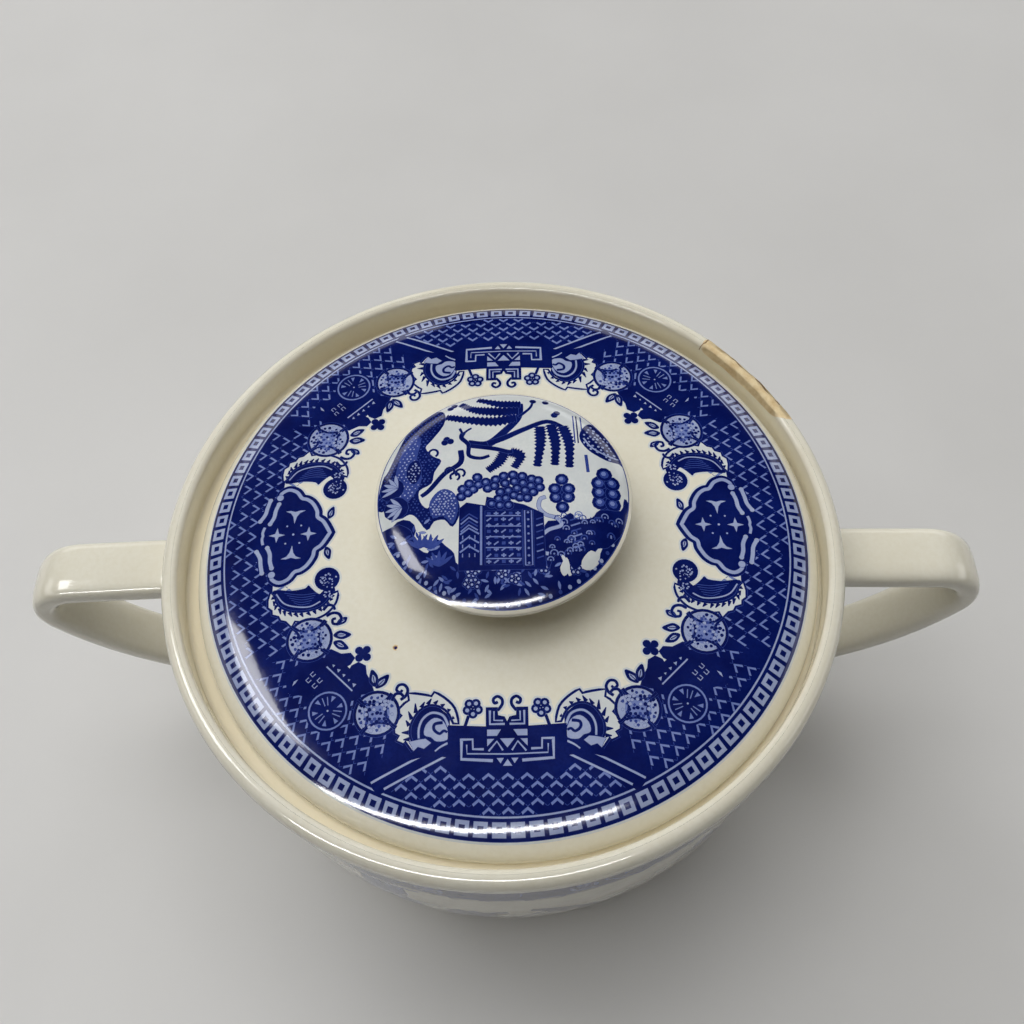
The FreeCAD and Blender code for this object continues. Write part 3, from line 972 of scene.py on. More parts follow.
def zigzag_fence(pen, x, y, length, height):
    """Panelled fence along a path."""
    count = max(1, int(length / (height * 1.3)))
    step = length / count
    for k in range(count + 1):
        px = x + step * k
        pen.box(px - 0.2, y, px + 0.2, y + height * 1.15, INK)
    for rail in (height, 0.15):
        pen.stroke([(x, y + rail), (x + length, y + rail)], 0.34, INK)
    for k in range(count):
        px = x + step * k
        pen.stroke([(px, y), (px + step, y + height)], 0.22, INK, halo=0.04)
        pen.stroke([(px, y + height), (px + step, y)], 0.22, INK, halo=0.04)
        pen.disc(px + step / 2, y + height / 2, height * 0.16, INK, 8, halo=0.04)


def bank(pen, x, y, length, height, rng):
    """Shore of rounded stones with pale hatching."""
    top = []
    count = max(3, int(length / 2.6))
    for k in range(count + 1):
        t = k / count
        lift = height * (0.45 + 0.55 * math.sin(math.pi * t)) * rng.uniform(0.7, 1.15)
        top.append((x + length * t, y + lift * (0 if k in (0, count) else 1)))
    low = [(x + length * t, y - height * 0.25 * math.sin(math.pi * t)) for t in (0.8, 0.6, 0.4, 0.2)]
    pen.fill(curve(top, per=4) + low, INK)
    for k in range(1, count):
        px, py = top[k]
        pen.stroke(arc(px, py - 0.9, 0.65, 20, 160, 5), 0.2, PALE, halo=0.03)
        pen.stroke(arc(px - 0.3, py - 1.35, 0.45, 20, 150, 4), 0.15, PALE, halo=0)


def bridge(pen, x, y, length):
    """Three-arched bridge with a plain rail."""
    deck = curve([(x, y), (x + length * 0.25, y + length * 0.13), (x + length * 0.5, y + length * 0.17),
                  (x + length * 0.75, y + length * 0.13), (x + length, y)], per=5)
    under = []
    for k in (2, 1, 0):
        cx = x + length * (0.2 + 0.3 * k)
        lift = length * (0.035 if k == 1 else 0.0)
        under += arc(cx, y - length * 0.045 + lift, length * 0.105, 0, 180, 7)
    pen.fill(deck + [(x + length, y - length * 0.06)] + under + [(x, y - length * 0.06)], INK)
    pen.stroke([(px, py - length * 0.025) for px, py in deck[1:-1]], length * 0.014, PALE, halo=0.03)
    pen.stroke([(px, py + length * 0.055) for px, py in deck[2:-2]], length * 0.014, INK)
    for px, py in deck[2:-2:2]:
        pen.stroke([(px, py), (px, py + length * 0.055)], length * 0.012, INK, halo=0)


def boat(pen, x, y, length):
    """Small empty covered boat."""
    hull = curve([(x, y + length * 0.14), (x + length * 0.2, y + length * 0.02), (x + length * 0.7, y),
                  (x + length, y + length * 0.16)], per=4)
    pen.fill(hull + [(x + length * 0.72, y + length * 0.1), (x + length * 0.25, y + length * 0.1)], INK)
    pen.fill(arc(x + length * 0.48, y + length * 0.08, length * 0.17, 0, 180, 8), INK)
    for k in range(3):
        px = x + length * (0.39 + 0.09 * k)
        pen.stroke([(px, y + length * 0.11), (px, y + length * 0.2)], length * 0.02, PALE, halo=0)
    for k in range(3):
        level = y - length * (0.06 + 0.05 * k)
        pen.stroke([(x - length * 0.1 * k, level), (x + length * (0.6 + 0.2 * k), level)], 0.12, MID,
                   halo=0)


def ripples(pen, x, y, length, rows, rng):
    """Short level strokes on the water."""
    for k in range(rows):
        shift = rng.uniform(0, length * 0.3)
        start, level = x + shift, y - 0.75 * k
        pen.stroke([(start, level), (start + length * rng.uniform(0.4, 0.7), level)], 0.14, MID, halo=0)


def fern(pen, x, y, size, turn, tone=INK):
    """Spray of narrow leaves from one foot."""
    for k in range(5):
        leaf = pen.at(x, y, turn - 50 + 25 * k)
        leaf.blob([(0, 0), (size * 0.5, size * 0.13), (size, 0), (size * 0.5, -size * 0.1)], tone)


# ---- the knob's garden --------------------------------------------------------------------
def knob_ground(pen, rng):
    """Rocks and foliage at the left, and the dark growth along the bottom."""
    left = curve([(-18.4, 3.0), (-17.6, 4.4), (-16.2, 8.2), (-15.0, 11.6), (-13.4, 13.2), (-10.6, 15.8),
                  (-9.1, 14.8), (-9.2, 12.3), (-11.0, 9.4), (-11.9, 8.0), (-10.7, 6.3), (-9.4, 5.4),
                  (-10.4, 3.4), (-10.8, 1.4), (-12.6, 0.2), (-12.4, -1.8), (-11.2, -3.0), (-9.9, -1.2),
                  (-8.7, -0.3), (-7.0, -1.2), (-6.4, -3.8), (-7.4, -6.2), (-8.6, -5.0), (-10.2, -5.2),
                  (-11.2, -6.6), (-12.8, -4.4), (-13.9, -3.8), (-15.4, -4.4), (-16.2, -2.4),
                  (-19.0, -2.2)], closed=True, per=3)
    stippled(pen, left, INK, rng, 0.62, 0.15, MID)
    rocks = curve([(-16.4, 2.0), (-15.6, 7.4), (-13.9, 10.6), (-12.6, 9.6), (-13.2, 5.4), (-12.2, 2.6),
                   (-13.4, -0.6), (-15.4, -2.2)], closed=True, per=3)
    stippled(pen, rocks, MID, rng, 0.7, 0.13)
    bush = curve([(-11.0, -2.4), (-10.2, -0.6), (-8.8, 0.3), (-7.2, -0.6), (-6.6, -3.0), (-7.4, -5.8),
                  (-8.8, -4.4), (-10.4, -4.6)], closed=True, per=3)
    stippled(pen, bush, MID, rng, 0.55, 0.16)
    hollow = curve([(-13.4, 1.4), (-14.6, 3.0), (-14.2, 5.2), (-12.8, 5.6), (-12.4, 3.2)], closed=True,
                   per=3)
    stippled(pen, hollow, INK, rng, 0.6, 0.15)
    for x, y, turn in ((-17.4, 0.8, 150), (-16.6, -2.6, 185), (-15.4, -6.6, 215)):
        pen.disc(x + 0.6, y, 1.9, INK, 12)
        fern(pen, x + 1.5, y, 2.6, turn, PALE)
    bottom = [(-15.4, -5.4), (-13.6, -6.6), (-12.9, -9.0), (-11.0, -10.4), (-9.9, -8.2), (-8.4, -9.4),
              (-7.2, -10.6), (-6.4, -12.6), (-2.0, -12.8), (3.0, -12.9), (6.0, -12.4), (7.4, -10.2),
              (8.4, -11.6), (9.4, -14.4), (10.6, -13.4), (12.6, -13.0), (13.9, -12.2), (14.6, -9.8),
              (18.0, -6.4)]
    rim = arc(0, 0, KNOB_ZONE - 0.1, -18, -162, 60)
    pen.fill(curve(bottom, per=3) + rim, INK)
    for _ in range(130):
        a = rng.uniform(-155, -22)
        x, y = polar(rng.uniform(12.6, 18.6), a)
        if y < -12.9 or abs(x) > 9:
            leaf = pen.at(x, y, rng.uniform(0, 360))
            leaf.blob([(0, 0), (0.6, 0.22), (1.2, 0), (0.6, -0.2)], rng.choice((SOFT, SOFT, MID)), 2,
                      halo=0.04)
    for k in range(26):
        x, y = polar(18.45, -152 + 4.9 * k)
        pen.disc(x, y, 0.3, PALE if k % 3 else MID, 7, halo=0.05)
    for _ in range(11):
        x, y = rng.uniform(-12, 12), rng.uniform(-16.4, -13.2)
        if math.hypot(x, y) < 17.6:
            daisy(pen.at(x, y, rng.uniform(0, 72), 0.62))
    for x, y in ((-10.6, -8.2), (-12.2, -8.0), (-9.3, -11.0)):
        fern(pen, x, y - 1.6, 2.6, 90, MID)


def knob_house(pen):
    """Walls, posts and roofs of the garden house, with round leaves above."""
    pen.fill([(-6.5, -13.4), (-6.4, -3.2), (-5.4, -2.3), (-2.6, -2.9), (-2.4, -1.4), (3.2, -2.9),
              (6.0, -4.4), (6.2, -13.4)], INK)
    for k in range(4):
        y, tone = -4.2 - 0.62 * k, SOFT if k % 2 else MID
        pen.stroke([(-6.2, y - 1.1), (-5.0, y), (-3.7, y - 0.9)], 0.22, tone, halo=0.03)
    for k in range(3):
        y = -6.6 - 1.45 * k
        pen.stroke([(-6.3, y - 1.0), (-5.0, y), (-3.5, y - 1.0)], 0.26, SOFT, halo=0.03)
        for x in (-5.9, -4.9, -4.1):
            pen.stroke([(x, y - 1.2), (x, y - 1.8)], 0.16, SOFT, halo=0)
    pen.stroke([(-3.2, -2.9), (-3.2, -12.6)], 0.3, SOFT, halo=0.03)
    brickwork(pen, -2.6, -12.6, 5.4, 8.8, 9, 5)
    for k in range(5):
        y = -4.6 - 1.75 * k
        pen.stroke([(-2.5, y), (2.7, y - 0.12)], 0.16, SOFT, halo=0.03)
    column_post(pen, 3.0, -13.0, 1.5, 9.4)
    for k in range(7):
        y = -5.4 - 1.05 * k
        pen.stroke([(4.9, y), (5.9, y + 0.35)], 0.2, SOFT if k % 2 else MID, halo=0.03)
    spots = [(-6.0, 0.1), (-5.0, 1.0), (-3.8, 2.1), (-3.6, 0.8), (-4.4, 0.0), (-2.5, 1.2), (-2.2, 0.1),
             (-1.0, 1.6), (-1.2, 0.5), (0.2, 2.2), (0.4, 0.9), (1.6, 2.4), (1.8, 1.2), (3.0, 2.1),
             (3.1, 0.9), (4.4, 1.6), (4.3, 0.4), (5.4, 1.3), (5.6, 0.1), (2.2, 0.0), (3.4, -0.4),
             (4.6, -0.7), (0.9, -0.4), (-0.3, -0.6), (-0.6, -1.8), (0.5, -1.7), (1.7, -1.2), (2.6, -1.6),
             (-1.6, -2.6), (-0.4, -2.9), (0.9, -2.9), (3.7, -1.7), (-6.2, -1.2), (-5.2, -0.6)]
    berries(pen, spots, 0.62)


def knob_right(pen, rng):
    """Trees and scrolls to the right of the house."""
    crown(pen, 8.9, -0.9, 4.0, 6.4, 0.78, rng)
    crown(pen, 15.5, -0.9, 4.2, 8.4, 0.95, rng)
    pen.blob([(6.2, -6.4), (8.2, -5.6), (10.0, -4.4), (11.0, -5.4), (13.2, -5.2), (14.4, -3.9),
              (17.6, -3.6), (18.3, -1.4), (18.9, -2.6), (18.0, -6.4), (15.4, -9.6), (13.8, -10.0),
              (12.6, -11.8), (11.4, -12.4), (10.2, -13.4), (8.8, -11.2), (7.4, -11.4), (6.4, -13.2)],
             INK)
    swirl = curve([(6.6, -11.0), (5.5, -10.6), (5.3, -8.8), (6.6, -7.2), (8.6, -6.4), (8.0, -5.2),
                   (6.4, -4.6), (5.4, -3.4), (5.6, -2.0), (6.4, -1.6)])
    pen.stroke(swirl, 0.55, PALE)
    for k in range(6):
        pen.stroke([(9.9 + 0.1 * k, -5.6 - 0.9 * k), (11.3 + 0.1 * k, -5.1 - 0.9 * k)], 0.24,
                   SOFT if k % 2 else MID, halo=0.03)
    for _ in range(46):
        x, y = rng.uniform(6.6, 18.0), rng.uniform(-12.0, -4.2)
        if math.hypot(x, y) < 18.2 and y > -15.5 + 0.45 * x and y < -3.6 - 0.6 * abs(x - 12.5) / 2:
            r = rng.uniform(0.35, 0.6)
            pen.stroke(arc(x, y, r, -30, 200, 7), 0.18, rng.choice((SOFT, SOFT, MID)), halo=0)
            pen.disc(x, y - 0.1, 0.16, SOFT, 6, halo=0)
    pen.blob([(9.2, -11.6), (9.6, -13.4), (8.7, -14.4), (8.2, -13.2)], TINT, halo=0)
    pen.blob([(12.8, -10.4), (13.9, -11.4), (13.0, -13.0), (11.6, -13.2), (11.4, -12.0)], TINT, halo=0)
    for x in (11.1, 11.6, 12.3):
        pen.stroke([(x, 14.0), (x + 0.15, 8.2)], 0.22, MID if x != 11.6 else INK, halo=0)
    pen.stroke([(12.8, 6.0), (13.0, 2.8)], 0.5, MID, halo=0)
    oval = curve([(12.0, 9.6), (13.4, 12.3), (14.8, 12.0), (17.4, 8.0), (18.3, 4.8), (17.9, 5.0),
                  (15.8, 5.2), (13.2, 7.0)], closed=True, per=4)
    stippled(pen, oval, INK, rng, 0.8, 0.2)
    pen.sweep([(12.6, 9.2), (13.8, 7.4), (15.8, 6.2), (17.6, 5.8)], 0.25, PALE, halo=0.04)


def knob_willow(pen):
    """Boughs and feathered strands across the top."""
    pen.sweep([(-5.2, 8.4), (-2.2, 8.2), (0.6, 10.8), (2.6, 13.4), (2.9, 16.2)], 1.35, INK, 0.6)
    pen.sweep([(-2.2, 8.3), (0.5, 9.4), (3.4, 10.9), (7.0, 12.4), (9.6, 11.2)], 0.95, INK, 0.6)
    pen.sweep([(-6.0, 10.6), (-6.3, 9.6), (-5.2, 8.2), (-5.1, 6.2), (-3.4, 5.6), (-2.0, 6.0)], 0.7, INK,
              0.6)
    pen.sweep([(-6.4, 7.2), (-6.4, 4.9), (-8.8, 3.0), (-11.0, 0.2), (-12.2, -0.8)], 0.8, INK, 0.7)
    pen.sweep([(-6.6, 11.4), (-6.1, 10.5), (-5.4, 11.0), (-4.8, 11.4)], 0.32, INK, 0.6)
    pen.sweep([(2.6, 13.4), (4.4, 15.2), (4.9, 16.9)], 0.4, INK, 0.6)
    for points in ([(2.9, 16.0), (-0.4, 16.2), (-3.9, 17.6)],
                   [(2.6, 14.6), (-1.4, 14.6), (-4.6, 15.2), (-6.6, 16.8)],
                   [(2.2, 13.2), (-1.4, 12.6), (-5.6, 13.1), (-8.8, 13.9)],
                   [(5.9, 11.4), (5.9, 8.2), (5.3, 3.9)], [(7.6, 11.8), (8.2, 8.2), (8.0, 4.1)],
                   [(9.4, 11.4), (10.3, 8.2), (10.2, 3.7)], [(0.4, 6.6), (-0.6, 4.7), (-2.2, 3.3)],
                   [(1.2, 6.6), (2.8, 5.8), (1.8, 3.7)]):
        strand(pen, points, 1.5)
    pen.sweep([(-4.9, 8.0), (-1.2, 7.3), (0.8, 6.7), (1.6, 6.7)], 0.7, INK, 0.8)
    for x, y in ((4.9, 16.9), (6.9, 16.8), (8.2, 13.7), (8.6, 14.2), (-8.2, 16.0), (-7.6, 16.6),
                 (-8.6, 9.4), (-8.0, 9.0), (-8.9, 8.8)):
        pen.disc(x, y, 0.5, INK, 9)
    for x, y in ((-7.2, 2.4), (-6.4, 3.0), (-8.0, 3.4), (-10.6, 6.9)):
        pen.stroke(arc(x, y, 0.7, -60, 220, 9), 0.3, INK, halo=0.05)


def knob_scene():
    """Shapes of the knob's garden, from the ground up."""
    shapes = []
    pen = Pen(shapes)
    rng = random.Random(11)
    pen.disc(0, 0, KNOB_ZONE - 0.3, TINT, 90, halo=0)
    knob_ground(pen, rng)
    knob_right(pen, rng)
    knob_house(pen)
    knob_willow(pen)
    shapes[:] = [(tone, clipped(points, KNOB_ZONE - 0.15)) for tone, points in shapes]
    ring(pen, KNOB_ZONE - 0.22, 0.16, MID, 60, 0)
    return shapes


def clipped(points, radius):
    """Outline pulled in where it passes a circle."""
    out = []
    for x, y in points:
        scale = min(1, radius / max(1e-9, math.hypot(x, y)))
        out.append((x * scale, y * scale))
    return out


# ---- the bowl's side ----------------------------------------------------------------------
def side_band(pen, rng):
    """Border under the rim: chain of squares over a strip of trellis with blossoms."""
    top, low = PRINT_HIGH + 0.4, PRINT_HIGH - 11.4
    pen.fill([(-2, top), (-2, low), (HALF_TURN + 2, low), (HALF_TURN + 2, top)], INK, halo=0)
    count = 60
    pitch = HALF_TURN / count
    for k in range(-1, count + 1):
        square_link(pen.at(pitch * (k + 0.5), top - 1.75, 90), 1.95)
    for k in range(-1, count + 2):
        for y, width, tone in ((top - 3.3, 0.24, PALE), (low + 0.55, 0.24, PALE),
                               (low - 0.45, 0.3, INK)):
            pen.stroke([(pitch * k, y), (pitch * (k + 1), y)], width, tone, halo=0.04)
    across = HALF_TURN / 66
    for row in range(4):
        for k in range(-1, 67):
            x, y = across * (k + 0.5 * (row % 2)), top - 4.2 - 1.65 * row
            chevron(pen.at(x, y, 90), 2.55, 1.7)
    section = HALF_TURN / 4
    for k in range(4):
        x = section * (k + 0.5)
        cartouche(pen.at(x, low + 3.6, 90, 0.72))
        for side in (-1, 1):
            spotted_ball(pen.at(x + side * 9.4, low + 3.1), 2.4, rng)
            small_leaf(pen.at(x + side * 12.0, low + 0.9, -90 + side * 30), 2.0)
            tendril(pen.at(x + side * 13.0, low + 0.6, -90, 0.7, side > 0))
        x = section * k + section
        wheel(pen.at(x, low + 4.2), 2.3)
        for side in (-1, 1):
            cross_flower(pen.at(x + side * 3.4, low + 0.1, 0, 0.8))


def side_garden(pen, rng):
    """One view, about its own origin: island with a garden house, trees, bridge and water."""
    bush = curve([(-35, 0), (-34, 9), (-31, 14), (-27, 12), (-25, 6), (-24, 0)], closed=True, per=4)
    stippled(pen, bush, INK, rng, 1.1, 0.24)
    bank(pen, -34, -1.0, 39, 4.4, rng)
    pavilion(pen, -13, 4.2, 16, 3)
    pavilion(pen, -24.5, 2.6, 9, 2)
    crown(pen, -30.0, 18.5, 8.0, 9.0, 1.05, rng)
    pen.sweep([(-29.5, 2), (-29.0, 8), (-30.2, 14)], 1.2, INK, 0.6)
    crown(pen, -2.4, 12.8, 7.0, 9.6, 0.95, rng)
    pen.sweep([(-2.4, 1.6), (-1.9, 5.0), (-2.2, 9)], 1.0, INK, 0.6)
    berries(pen, [(-7.5 + 1.5 * k, 5.2 + 1.1 * (k % 2)) for k in range(5)], 0.8)
    bent_tree(pen.at(4.5, 1.0, 0, 1.25))
    zigzag_fence(pen, -36, -4.4, 38, 3.2)
    bridge(pen, 7.5, -0.6, 20)
    bank(pen, 25.5, -1.6, 17, 3.6, rng)
    pavilion(pen, 33.5, 2.2, 9.0, 2)
    crown(pen, 40.2, 8.0, 5.0, 7.0, 0.8, rng)
    crown(pen, 27.6, 6.4, 3.6, 5.0, 0.7, rng)
    boat(pen, 22.0, 11.6, 9.5)
    bank(pen, 26.0, 18.6, 15, 2.4, rng)
    pavilion(pen, 31.0, 20.2, 5.0, 1)
    crown(pen, 36.6, 22.4, 4.0, 4.2, 0.62, rng)
    ripples(pen, 6, -3.4, 34, 3, rng)
    ripples(pen, 16, 10.2, 24, 3, rng)
    for k in range(12):
        fern(pen, -38 + 7.4 * k, -5.0, 3.4, 90 + rng.uniform(-14, 14))
    for k in range(6):
        daisy(pen.at(-34.5 + 14.8 * k, -4.0, 20 * k, 0.95))


def side_print():
    """Half of the bowl's side; the other half repeats it. The seams lie under the handles."""
    shapes = []
    pen = Pen(shapes, bleeds=False)
    rng = random.Random(23)
    side_garden(pen.at(HALF_TURN / 2 - 4, 25.2, 0, 1.22), rng)
    side_band(pen, rng)
    for k in range(-1, 62):
        span = HALF_TURN / 60
        pen.stroke([(span * k, PRINT_LOW + 0.75), (span * (k + 1), PRINT_LOW + 0.75)], 0.5, INK)
    return [(tone, [(u, min(PRINT_HIGH - 0.2, max(PRINT_LOW + 0.2, v))) for u, v in points])
            for tone, points in shapes]


# ---- skins: surfaces of revolution and printed sheets -------------------------------------
class Skin:
    """Mesh under construction, with a smooth normal for each point."""

    def __init__(self):
        self.points, self.normals, self.faces, self.tones = [], [], [], []

    def add(self, places, faces, tones, flip=False):
        """Add (position, normal) places in millimetres and the faces between them."""
        first = len(self.points)
        self.points += [p for p, n in places]
        self.normals += [n for p, n in places]
        self.faces += [[first + i for i in (face[::-1] if flip else face)] for face in faces]
        self.tones += tones

    def revolve(self, profile, x=0.0, columns=range(360)):
        """Turn a profile of (radius, height, normal_r, normal_z) about a vertical axis."""
        for k in columns:
            places = []
            for degrees in (k, k + 1):
                c, s = math.cos(math.radians(degrees)), math.sin(math.radians(degrees))
                places += [((x + r * c, r * s, z), (nr * c, nr * s, nz)) for r, z, nr, nz in profile]
            n = len(profile)
            quads = [(i, i + n, i + n + 1, i + 1) for i in range(n - 1)]
            self.add(places, quads, [GLAZE] * len(quads))

    def sheet(self, points, triangles, place, flip=False):
        """Lay a drawn sheet of triangles on a surface."""
        self.add([place(u, v) for u, v in points], [t for t, tone in triangles],
                 [tone for t, tone in triangles], flip)

    def build(self, name, looks):
        """Make the object: weld the seams, set the tones and the smooth normals."""
        weld = 0.004
        bm = bmesh.new()
        layer = bm.verts.layers.float_vector.new("smooth")
        for place, normal in zip(self.points, self.normals):
            vertex = bm.verts.new([c * MM for c in place])
            vertex[layer] = normal
        bm.verts.ensure_lookup_table()
        for corners, tone in zip(self.faces, self.tones):
            face = bm.faces.new([bm.verts[i] for i in corners])
            face.material_index = tone
            face.smooth = True
        bmesh.ops.remove_doubles(bm, verts=bm.verts, dist=weld * MM)
        flat = [f for f in bm.faces if f.calc_area() < 1e-15]
        bmesh.ops.dissolve_degenerate(bm, dist=1e-7, edges=list({e for f in flat for e in f.edges}))
        normals = [Vector(v[layer]).normalized() for v in bm.verts]
        mesh = bpy.data.meshes.new(name)
        bm.to_mesh(mesh)
        bm.free()
        for look in looks:
            mesh.materials.append(look)
        mesh.normals_split_custom_set_from_vertices(normals)
        return add_piece(name, mesh)


def add_piece(name, mesh):
    """Object of this mesh, in the scene."""
    piece = bpy.data.objects.new(name, mesh)
    bpy.context.scene.collection.objects.link(piece)
    return piece


def bow(r, z, radius, start, end, steps=8, hollow=False):
    """Profile points along an arc; a hollow one faces its centre."""
    out = []
    for k in range(steps + 1):
        a = math.radians(start + (end - start) * k / steps)
        c, s = math.cos(a), math.sin(a)
        side = -1 if hollow else 1
        out.append((r + radius * c, z + radius * s, side * c, side * s))
    return out


def rounded(corners, steps=4):
    """Profile through (radius, height, fillet) corners, facing the right of its direction."""
    out = []

    def put(point, along):
        out.append((point.x, point.y, along.y, -along.x))

    points = [Vector(c[:2]) for c in corners]
    ways = [(b - a).normalized() for a, b in zip(points, points[1:])]
    put(points[0], ways[0])
    for here, corner, before, after in zip(points[1:-1], corners[1:-1], ways, ways[1:]):
        fillet = corner[2]
        turn = before.angle_signed(after)
        if abs(turn) < 1e-4:
            continue
        reach = fillet * math.tan(abs(turn) / 2)
        start = here - before * reach
        side = 1 if turn < 0 else -1
        centre = start + Vector((-before.y, before.x)) * fillet * side
        for k in range(steps + 1):
            heading = math.atan2(before.y, before.x) + (-turn) * k / steps
            along = Vector((math.cos(heading), math.sin(heading)))
            put(centre + Vector((along.y, -along.x)) * fillet * side, along)
    put(points[-1], ways[-1])
    return out


def joined(*parts):
    """Profiles end to end, without repeated points."""
    out = []
    for part in parts:
        for point in part:
            if not out or math.dist(point[:2], out[-1][:2]) > 0.02:
                out.append(point)
    return out


def dome_place(height, slope, x):
    """Placing function for a sheet on a dome about the axis at x."""
    def place(u, v):
        r = math.hypot(u, v)
        lean = -slope(r)
        c, s = (u / r, v / r) if r > 1e-6 else (0.0, 0.0)
        size = math.hypot(lean, 1)
        return (x + u, v, height(r)), (lean * c / size, lean * s / size, 1 / size)
    return place


# ---- lid ----------------------------------------------------------------------------------
def lid_height(r):
    """Shallow dome that turns down at a rounded shoulder."""
    fall, reach = LID_DOME
    over = max(0.0, r - LID_FLAT) / (LID_RADIUS - LID_FLAT)
    dome = LID_CROWN - fall * (r / reach) ** 2
    return dome - SHOULDER_FALL * (1 - math.sqrt(max(0.0, 1 - over * over)))


def lid_slope(r):
    """Change of the lid's height with radius."""
    fall, reach = LID_DOME
    over = max(0.0, r - LID_FLAT) / (LID_RADIUS - LID_FLAT)
    shoulder = SHOULDER_FALL / (LID_RADIUS - LID_FLAT) * over / math.sqrt(max(1e-6, 1 - over * over))
    return -2 * fall * r / reach ** 2 - shoulder


def lid_profile():
    """Underside, locating ring, seat and edge, up to the edge of the printed face."""
    under = LID_CROWN - 4.0
    seat = LID_SEAT
    lower = rounded([(0, under, 0), (26.0, under - 0.75, 60), (41.9, seat + 0.9, 8), (43.5, 68.2, 1.6),
                     (43.6, 64.0, 1.3), (46.75, 64.0, 1.3), (46.8, seat, 0.7), (50.0, seat, 0.4),
                     (LID_RADIUS, seat + 0.6, 0.5), (LID_RADIUS, seat + 1.3, 0)])
    edge = []
    start = math.degrees(math.asin((LID_ZONE - LID_FLAT) / (LID_RADIUS - LID_FLAT)))
    for k in range(10):
        a = math.radians(90 + (start - 90) * k / 9)
        r = min(LID_FLAT + (LID_RADIUS - LID_FLAT) * math.sin(a), LID_RADIUS - 1e-4)
        slope = lid_slope(r)
        size = math.hypot(slope, 1)
        edge.append((r, lid_height(r), -slope / size, 1 / size))
    return joined(lower, edge)


def iron_spot():
    """Dark speck in the glaze with a brown edge."""
    shapes = []
    pen = Pen(shapes, bleeds=False)
    rng = random.Random(5)
    for x, y, radius, tone in ((16.7, 20.2, 0.46, CLAY), (16.7, 20.2, 0.36, STAIN),
                               (16.65, 20.25, 0.22, INK)):
        pebble(pen, x, y, radius, rng, tone)
    return shapes


def make_lid(looks):
    """Printed lid: one quarter of the border, mirrored to all four, and one with the iron spot."""
    skin = Skin()
    outline = [(0, 0)] + [polar(LID_ZONE, k) for k in range(91)]
    inside = [polar(r, a) for r in range(3, 46, 3) for a in range(5, 90, 5)]
    guides = [arc(0, 0, r, 0, 90, 90) for r in (43.6, 44.6, 46.0, 47.9)]
    plain = triangulate(lid_border(), outline, inside, guides)
    spotted = triangulate(lid_border() + iron_spot(), outline, inside, guides)
    place = dome_place(lid_height, lid_slope, LID_X)
    for sx in (1, -1):
        for sy in (1, -1):
            points, triangles = spotted if (sx, sy) == (-1, -1) else plain
            skin.sheet([(sx * u, sy * v) for u, v in points], triangles, place, flip=sx * sy < 0)
    skin.revolve(lid_profile(), LID_X)
    lid = skin.build("lid_printed", looks)
    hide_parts("lid")
    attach(lid, "cover")


# ---- knob ---------------------------------------------------------------------------------
def knob_height(r):
    """Nearly flat top that curves down into a slanting brim."""
    fall, reach = KNOB_DOME
    return KNOB_TOP - fall * (r / reach) ** 2 - BRIM_FALL * max(0.0, r - KNOB_FLAT) ** 2


def knob_slope(r):
    """Change of the knob's height with radius."""
    fall, reach = KNOB_DOME
    return -2 * fall * r / reach ** 2 - 2 * BRIM_FALL * max(0.0, r - KNOB_FLAT)


def knob_profile():
    """Flared root, waist, underside of the disc and its edge."""
    return rounded([(16.2, lid_height(16.2) - 0.15, 0), (12.6, lid_height(12) + 0.25, 6),
                    (9.6, 80.2, 3.2), (9.9, 82.6, 2.4), (13.5, 84.1, 5), (18.0, 84.6, 3),
                    (KNOB_RADIUS, 85.0, 0.5), (KNOB_RADIUS, knob_height(KNOB_RADIUS), 0.25),
                    (KNOB_ZONE, knob_height(KNOB_ZONE), 0)])


def make_knob(looks):
    """Printed disc knob with its neck."""
    skin = Skin()
    outline = [polar(KNOB_ZONE, k) for k in range(360)]
    inside = [polar(r, a) for r in (3, 6, 9, 12, 15) for a in range(0, 360, 15)]
    guides = [[polar(r, 3 * k) for k in range(121)] for r in (15.0, 15.7, 16.4, 17.1, 17.8, 18.5)]
    skin.sheet(*triangulate(knob_scene(), outline, inside, guides),
               dome_place(knob_height, knob_slope, LID_X))
    skin.revolve(knob_profile(), LID_X)
    knob = skin.build("knob_printed", looks)
    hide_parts("lid_knob")
    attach(knob, "cover")


# ---- bowl ---------------------------------------------------------------------------------
def side_place(u, v):
    """Place on the outside wall: u is the way round in mm at the rim, v the height."""
    a = u / WALL_RADIUS
    drop = min(0.0, v - LONG_Z)
    level = math.sqrt(BELLY_CURVE ** 2 - drop * drop)
    r = LONG_R + level
    nr, nz = level / BELLY_CURVE, drop / BELLY_CURVE
    c, s = math.cos(a), math.sin(a)
    return (r * c, r * s, v), (nr * c, nr * s, nz)


def foot_profile():
    """Recess, foot ring and the turn up to the side print."""
    foot = rounded([(0, 2.0, 0), (29.4, 2.0, 1.0), (30.6, 0.0, 0.5), (33.9, 0.0, 0.7),
                    (34.15, 4.72, 0.5), (35.06, 4.95, 0)])
    return joined(foot, bow(TURN_R, TURN_Z, TURN_CURVE, TURN_END, MEET, 11))


def rim_profile():
    """Bead and rim, from the top of the side print to the lid's ledge."""
    return rounded([(WALL_RADIUS, PRINT_HIGH, 0), (WALL_RADIUS, 70.5, 0.6), (RIM_RADIUS, 71.7, 0.9),
                    (RIM_RADIUS, RIM_TOP, 1.95), (RIM_BORE, RIM_TOP, 0.85), (RIM_BORE, LEDGE_TOP, 0.5),
                    (LEDGE_EDGE, LEDGE_TOP, 0)], 5)


